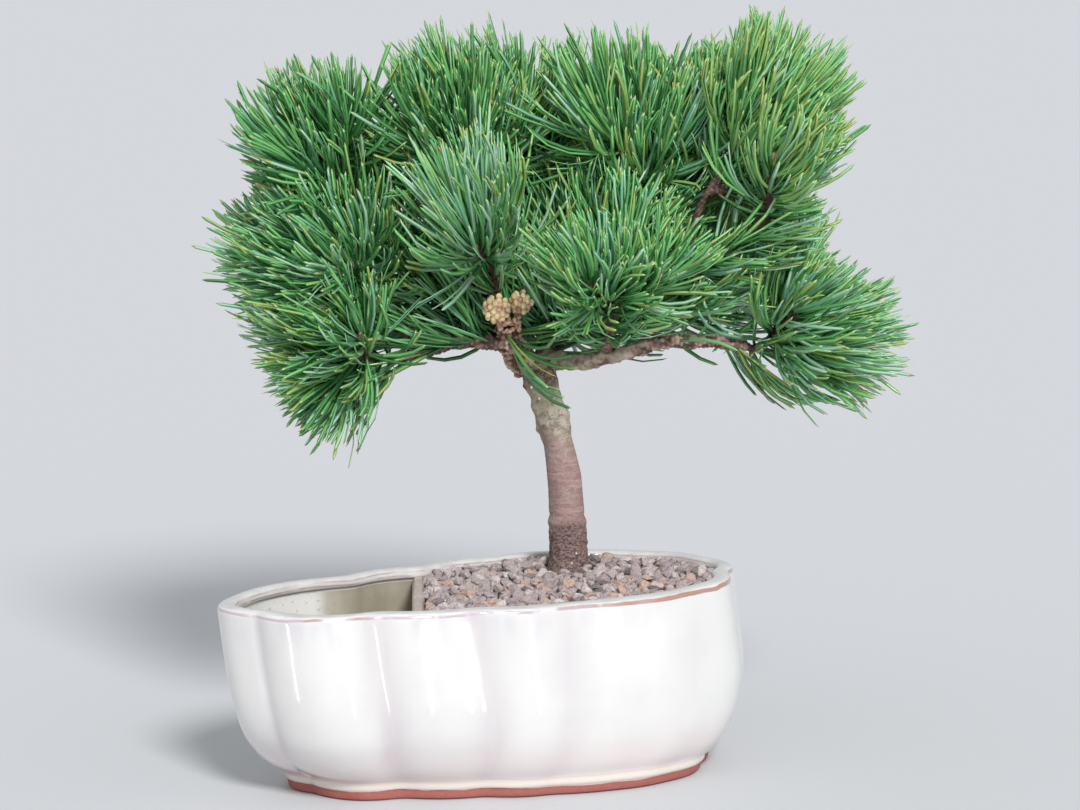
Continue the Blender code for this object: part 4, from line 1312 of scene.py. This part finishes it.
def needle_seeds(rng, path, first, last, pairs, length, tilts, lean):
    """Roots, headings, reaches and shares of the path of paired needles round it."""
    shares = first + (last - first) * np.sort(rng.random(pairs)) ** 0.95
    root, axis = feet_along(path, shares)
    out = outward_from(axis, rng.random(pairs) * 2 * math.pi)
    grown = (shares - first) / (last - first)
    tilt = np.radians(tilts[0] + (tilts[1] - tilts[0]) * grown ** 1.3 + rng.normal(0, 9, pairs))
    tilt = np.clip(tilt, math.radians(3), math.radians(95))
    start, middle, end = needle_headings(rng, root, axis, out, tilt, np.array(lean))
    reach = length * rng.uniform(0.74, 1.08, pairs)
    made = []
    for _ in range(2):
        spread = rng.normal(0, 0.055, (pairs, 3))
        headings = start + spread, middle + spread * 1.2, end + spread * 1.6
        headings = np.stack([units(heading) for heading in headings], 1)
        made.append((root + out * 0.8, headings, reach * rng.uniform(0.95, 1.0, pairs), grown))
    return [np.concatenate(items) for items in zip(*made)]


def needle_place(root, headings, reach, share):
    """The point of each needle at a share of its length: its heading blends the three given."""
    weights = np.array((share - share ** 2 + share ** 3 / 3, share ** 2 - 2 * share ** 3 / 3, share ** 3 / 3))
    return root + np.einsum("k,nkc->nc", weights, headings) * reach[:, None]


def needle_points(root, headings, reach, rng):
    """Points of slim three-sided needles that bend along their headings, each ring's and the tip's."""
    shares = NEEDLE_RINGS + (1.0,)
    centre = np.stack([needle_place(root, headings, reach, share) for share in shares], 1)
    blend = np.array([((1 - share) ** 2, 2 * share * (1 - share), share ** 2) for share in shares])
    heading = np.einsum("sk,nkc->nsc", blend, headings)
    roll = units(np.cross(headings[:, 0], rng.normal(0, 1, (len(root), 3))))
    width_way = units(np.cross(heading, roll[:, None]))
    depth_way = units(np.cross(width_way, heading))
    taper = np.array(NEEDLE_TAPER)[None, :, None]
    wide = width_way[:, :-1] * taper * NEEDLE_WIDTH / 2
    deep = depth_way[:, :-1] * taper * NEEDLE_DEPTH / 2
    middle = centre[:, :-1]
    corners = np.stack([middle + wide, middle + deep, middle - wide], 2).reshape(len(root), -1, 3)
    return np.concatenate([corners, centre[:, -1:]], 1)


def needle_slots(kind, chance):
    """Places of the materials of a needle's faces, from its sheath to its tip, and of its foot's cap."""
    # Most needles take the deep green on their foot as painted shade
    foot = DEEP if chance < SHADED_FOOT else kind
    upper = YELLOW if chance > NOT_YELLOW else LIGHTER[kind] if chance > PLAIN_UPPER else kind
    tip = DRY_TIP if chance < DRY_TIPPED else FRESH_TIP if chance > NOT_TIPPED else upper
    return [slot for slot in (SHEATH, foot, kind, kind, upper, tip) for _ in range(3)] + [SHEATH]


def add_needles(name, root, headings, reach, kind, materials):
    """One piece of needles."""
    piece = "needles_" + name
    rng = np.random.default_rng(len(piece) * 101 + len(root))
    last = len(NEEDLE_RINGS) * 3
    faces = ring_faces(len(NEEDLE_RINGS), 3)
    faces += [(last - 3, last - 2, last), (last - 2, last - 1, last), (last - 1, last - 3, last), (2, 1, 0)]
    parts = Parts()
    points = needle_points(root, headings, reach, rng)
    for own, index, chance in zip(points, kind.tolist(), rng.random(len(root))):
        parts.add(own, faces, slots=needle_slots(index, chance))
    parts.piece(piece, materials, "needles", replaced=("foliage_" + name,))


def dealt(rng, palette, count=None):
    """Colours dealt out by a palette's shares."""
    return rng.choice(len(GREENS), count, p=PALETTES[palette])


def shoot_colours(rng, palette, grown):
    """A colour for each needle of a shoot, with more old ones towards the shoot's foot."""
    count = len(grown)
    main = dealt(rng, palette)
    chosen = dealt(rng, palette, count)
    chosen = np.where(rng.random(count) < 0.25, main, chosen)
    older = dealt(rng, "old", count)
    return np.where(rng.random(count) < 0.35 * (1 - grown), older, chosen)


def spray_of(rng, limb, row, length):
    """The needles of one row of the tables of sprays."""
    low, high, pairs, tilts, lean, palette = row
    path = smooth_rows(LIMBS[limb], 3)[:, :3]
    root, headings, reach, _ = needle_seeds(rng, path, low, high, pairs, length * 0.95, tilts, lean)
    kept = (headings[:, 0, 2] > LOWEST_HEADING) | (limb not in LOW_LIMBS or lean[2] < 0)
    kind = dealt(rng, palette, len(root))
    return root[kept], headings[kept], reach[kept], kind[kept]


def mass_needles(rng, name, shoots):
    """The needles of a mass's shoots and of the sprays that go with it."""
    limb, _, _, _, length, _, _, lean, palette = MASSES[name]
    pairs = PAIRS_BEHIND if "back" in name else PAIRS_PER_SHOOT
    found = []
    for path in shoots:
        first = max(0.06, 1 - NEEDLED / stretches(path)[0].sum())
        seeds = needle_seeds(rng, path, first, 1.0, pairs, length, SHOOT_TILTS, lean)
        found.append((*seeds[:3], shoot_colours(rng, palette, seeds[3])))
    found += [spray_of(rng, limb, row, length) for row in LIMB_SPRAYS[limb]]
    return [np.concatenate(items) for items in zip(*found)]


def shown_needles(rng, root, headings, reach, kind):
    """Those that stay in the crown, stand off the limbs and leave the bare ones open to view."""
    kept = kept_share(root, headings, reach, rng)
    clear = kept > SHORTEST
    for share in TESTED_PLACES:
        places = needle_place(root, headings, reach, share)
        clear &= clear_of_limbs(places)
        clear &= ~blocks_view(places, rng)
    return [item[clear] for item in (root, headings, reach * kept, kind)]


def loose_needles(seeds):
    """Those of a spray's needles that stand off the limbs beyond their foot."""
    clear = np.ones(len(seeds[0]), bool)
    for share in TESTED_PLACES[1:]:
        clear &= clear_of_limbs(needle_place(*seeds[:3], share))
    return [item[clear] for item in seeds]


def needle_materials():
    """The greens, the tips and the sheath, in the order of their places."""
    looks = [needle_look(name, colour) for name, (colour, _) in GREENS.items()]
    looks.append(needle_look("needle_tip", (0.40, 0.56, 0.21), 0.45))
    looks.append(needle_look("needle_dry_tip", (0.50, 0.38, 0.12), 0.5))
    looks.append(needle_look("needle_sheath", (0.22, 0.15, 0.10), 0.7))
    return looks


def grow_foliage():
    """Twigs, buds and needles of every mass."""
    shoots = {name: shoots_of(row) for name, row in MASSES.items()}
    every = [shoot for group in shoots.values() for shoot in group]
    make_twigs(every)
    make_buds([shoot for shoot in every if in_crown(shoot[-1:] + UP * 4.0)[0]])
    materials = needle_materials()
    for number, (name, (limb, _, _, _, length, *_)) in enumerate(MASSES.items()):
        rng = np.random.default_rng(FIRST_SEED + number)
        batch = [shown_needles(rng, *mass_needles(rng, name, shoots[name]))]
        batch += [loose_needles(spray_of(rng, limb, row, length)) for row in LOOSE_SPRAYS.get(limb, ())]
        add_needles(name, *(np.concatenate(items) for items in zip(*batch)), materials)


# Pollen cones and resin

def lumpy_ball(parts, centre, radius, squash, rng):
    """Points and faces of a small lumpy ball, unlike those already among the parts."""
    bm = bmesh.new()
    bmesh.ops.create_icosphere(bm, subdivisions=2, radius=1.0)
    spin = Matrix.Rotation(rng.uniform(0, FULL_TURN), 3, "Z")
    own = []
    for vert in bm.verts:
        scale = 1 + BALL_LUMPS * noise.noise(vert.co * 2.6 + Vector((parts.count, 0, 0)) * 0.01)
        own.append(np.array(spin @ vert.co) * scale)
    bm.verts.index_update()
    faces = [[vert.index for vert in face.verts] for face in bm.faces]
    bm.free()
    return np.array(own) * radius * np.array((1, 1, squash)) + np.array(centre), faces


def make_cluster(rng, name, looks):
    """Pollen cones packed over a ball, on a stalk."""
    centre, foot, radius, _, buds, shares = CONES[name]
    parts = Parts()
    for count in range(buds):
        height = 1 - 2 * (count + 0.5) / buds
        turn = count * GOLDEN
        flat = math.sqrt(1 - height * height)
        reach = radius + rng.uniform(0.0, 1.6)
        place = np.array(centre) + np.array((math.cos(turn) * flat, math.sin(turn) * flat, height)) * reach
        ball = lumpy_ball(parts, place, rng.uniform(1.25, 1.55), 1.15, rng)
        parts.add(*ball, slots=rng.choices(range(len(looks)), shares)[0])
    parts.add(*lumpy_ball(parts, centre, radius, 1.0, rng), slots=CREAM)
    stalk = ((*foot, 1.5), (*(0.5 * (np.array(foot) + centre)), 1.3), (*centre, 1.2))
    parts.add(*limb_mesh(stalk, spacing=0.8, sides=10, relief=stalk_relief)[:2], slots=PINK)
    parts.piece(name + "_buds", looks, "pollen_cones", replaced=(name,))


def make_cones():
    rng = random.Random(23)
    cream = bud_look("pollen_cream", (1.0, 0.68, 0.38), (1.0, 0.90, 0.60))
    green = bud_look("pollen_green", (0.86, 0.68, 0.34), (1.0, 0.90, 0.55))
    pink = bud_look("pollen_pink", (0.56, 0.27, 0.19), (0.88, 0.60, 0.46))
    for name in CONES:
        make_cluster(rng, name, [cream, green, pink])
    parts = Parts()
    for count in range(LOOSE_SCALES):
        turn = count * GOLDEN
        wide, deep = SCALES_SPREAD
        off = np.array((math.cos(turn) * wide, math.sin(turn) * deep, rng.uniform(-3.6, 3.2)))
        parts.add(*lumpy_ball(parts, SCALES_CENTRE + off, rng.uniform(0.9, 1.4), 1.1, rng))
    parts.piece("pollen_scales", [pink], "pollen_cones")


def make_resin():
    """Drops of resin on the stub and the trunk."""
    rng = random.Random(5)
    amber = Look("resin_amber", (0.85, 0.30, 0.03), 0.08, Coat_Weight=0.5)
    amber.finish(None, amber.noise(500, 2), 0.1, 0.0005)
    milky = Look("resin_milky", (0.80, 0.78, 0.72), 0.3)
    milky.finish(None, milky.noise(900, 3), 0.4, 0.0005)
    parts = Parts()
    for place, radius, kind in RESIN:
        parts.add(*lumpy_ball(parts, place, radius, 1.2, rng), slots=kind)
    parts.piece("resin", [amber.material, milky.material], "scaly_bark")


# Stage

def make_stage():
    mesh = bpy.data.meshes.new("floor")
    corners = ((-1, -1), (1, -1), (1, 1), (-1, 1))
    mesh.from_pydata([(x * FLOOR_HALF, y * FLOOR_HALF, -FLOOR_DROP) for x, y in corners], [], [(0, 1, 2, 3)])
    look = Look("floor_paper", (0.60, 0.61, 0.63), 0.85)
    mesh.materials.append(look.finish(None, look.noise(300, 3), 0.05, 0.001))
    add_object("floor", mesh)


def aim(obj, place, target):
    obj.rotation_euler = (Vector(target) - Vector(place)).to_track_quat("-Z", "Y").to_euler()


def add_glint(name, place, energy):
    """A narrow upright strip light that only the glaze's gloss shows."""
    data = bpy.data.lights.new(name, "AREA")
    data.shape = "RECTANGLE"
    data.size, data.size_y = GLINT_SIZE
    data.energy = energy
    light = add_object(name, data)
    light.location = place
    light.visible_camera = False
    light.visible_diffuse = False
    aim(light, place, (0.0, 0.0, GLINT_HEIGHT))


def make_lights():
    world = bpy.data.worlds.new("studio")
    world.use_nodes = True
    background = world.node_tree.nodes["Background"]
    background.inputs["Color"].default_value = (*SKY_COLOUR, 1.0)
    background.inputs["Strength"].default_value = SKY_STRENGTH
    bpy.context.scene.world = world
    key = bpy.data.lights.new("key", "SUN")
    key.energy = SUN_STRENGTH
    key.angle = SUN_WIDTH
    aim(add_object("key", key), SUN_PLACE, (0.0, 0.0, 0.0))
    for index, (x, y, energy) in enumerate(GLINTS):
        add_glint(f"glint_{index}", (x, y, GLINT_HEIGHT), energy)


def make_camera():
    data = bpy.data.cameras.new("camera")
    data.sensor_width = SENSOR_WIDTH
    data.lens = CAMERA_LENS
    data.clip_start, data.clip_end = 0.05, 60.0
    camera = add_object("camera", data)
    camera.location = Vector(CAMERA_PLACE) * MM
    camera.rotation_euler = (math.radians(90 - CAMERA_DIP), 0.0, math.radians(-CAMERA_TURN))
    bpy.context.scene.camera = camera


make_pot()
make_divider()
make_bed()
make_gravel()
make_trunk()
make_stub()
make_boughs()
grow_foliage()
make_cones()
make_resin()
make_stage()
make_lights()
make_camera()
bpy.context.scene.view_settings.view_transform = "Standard"
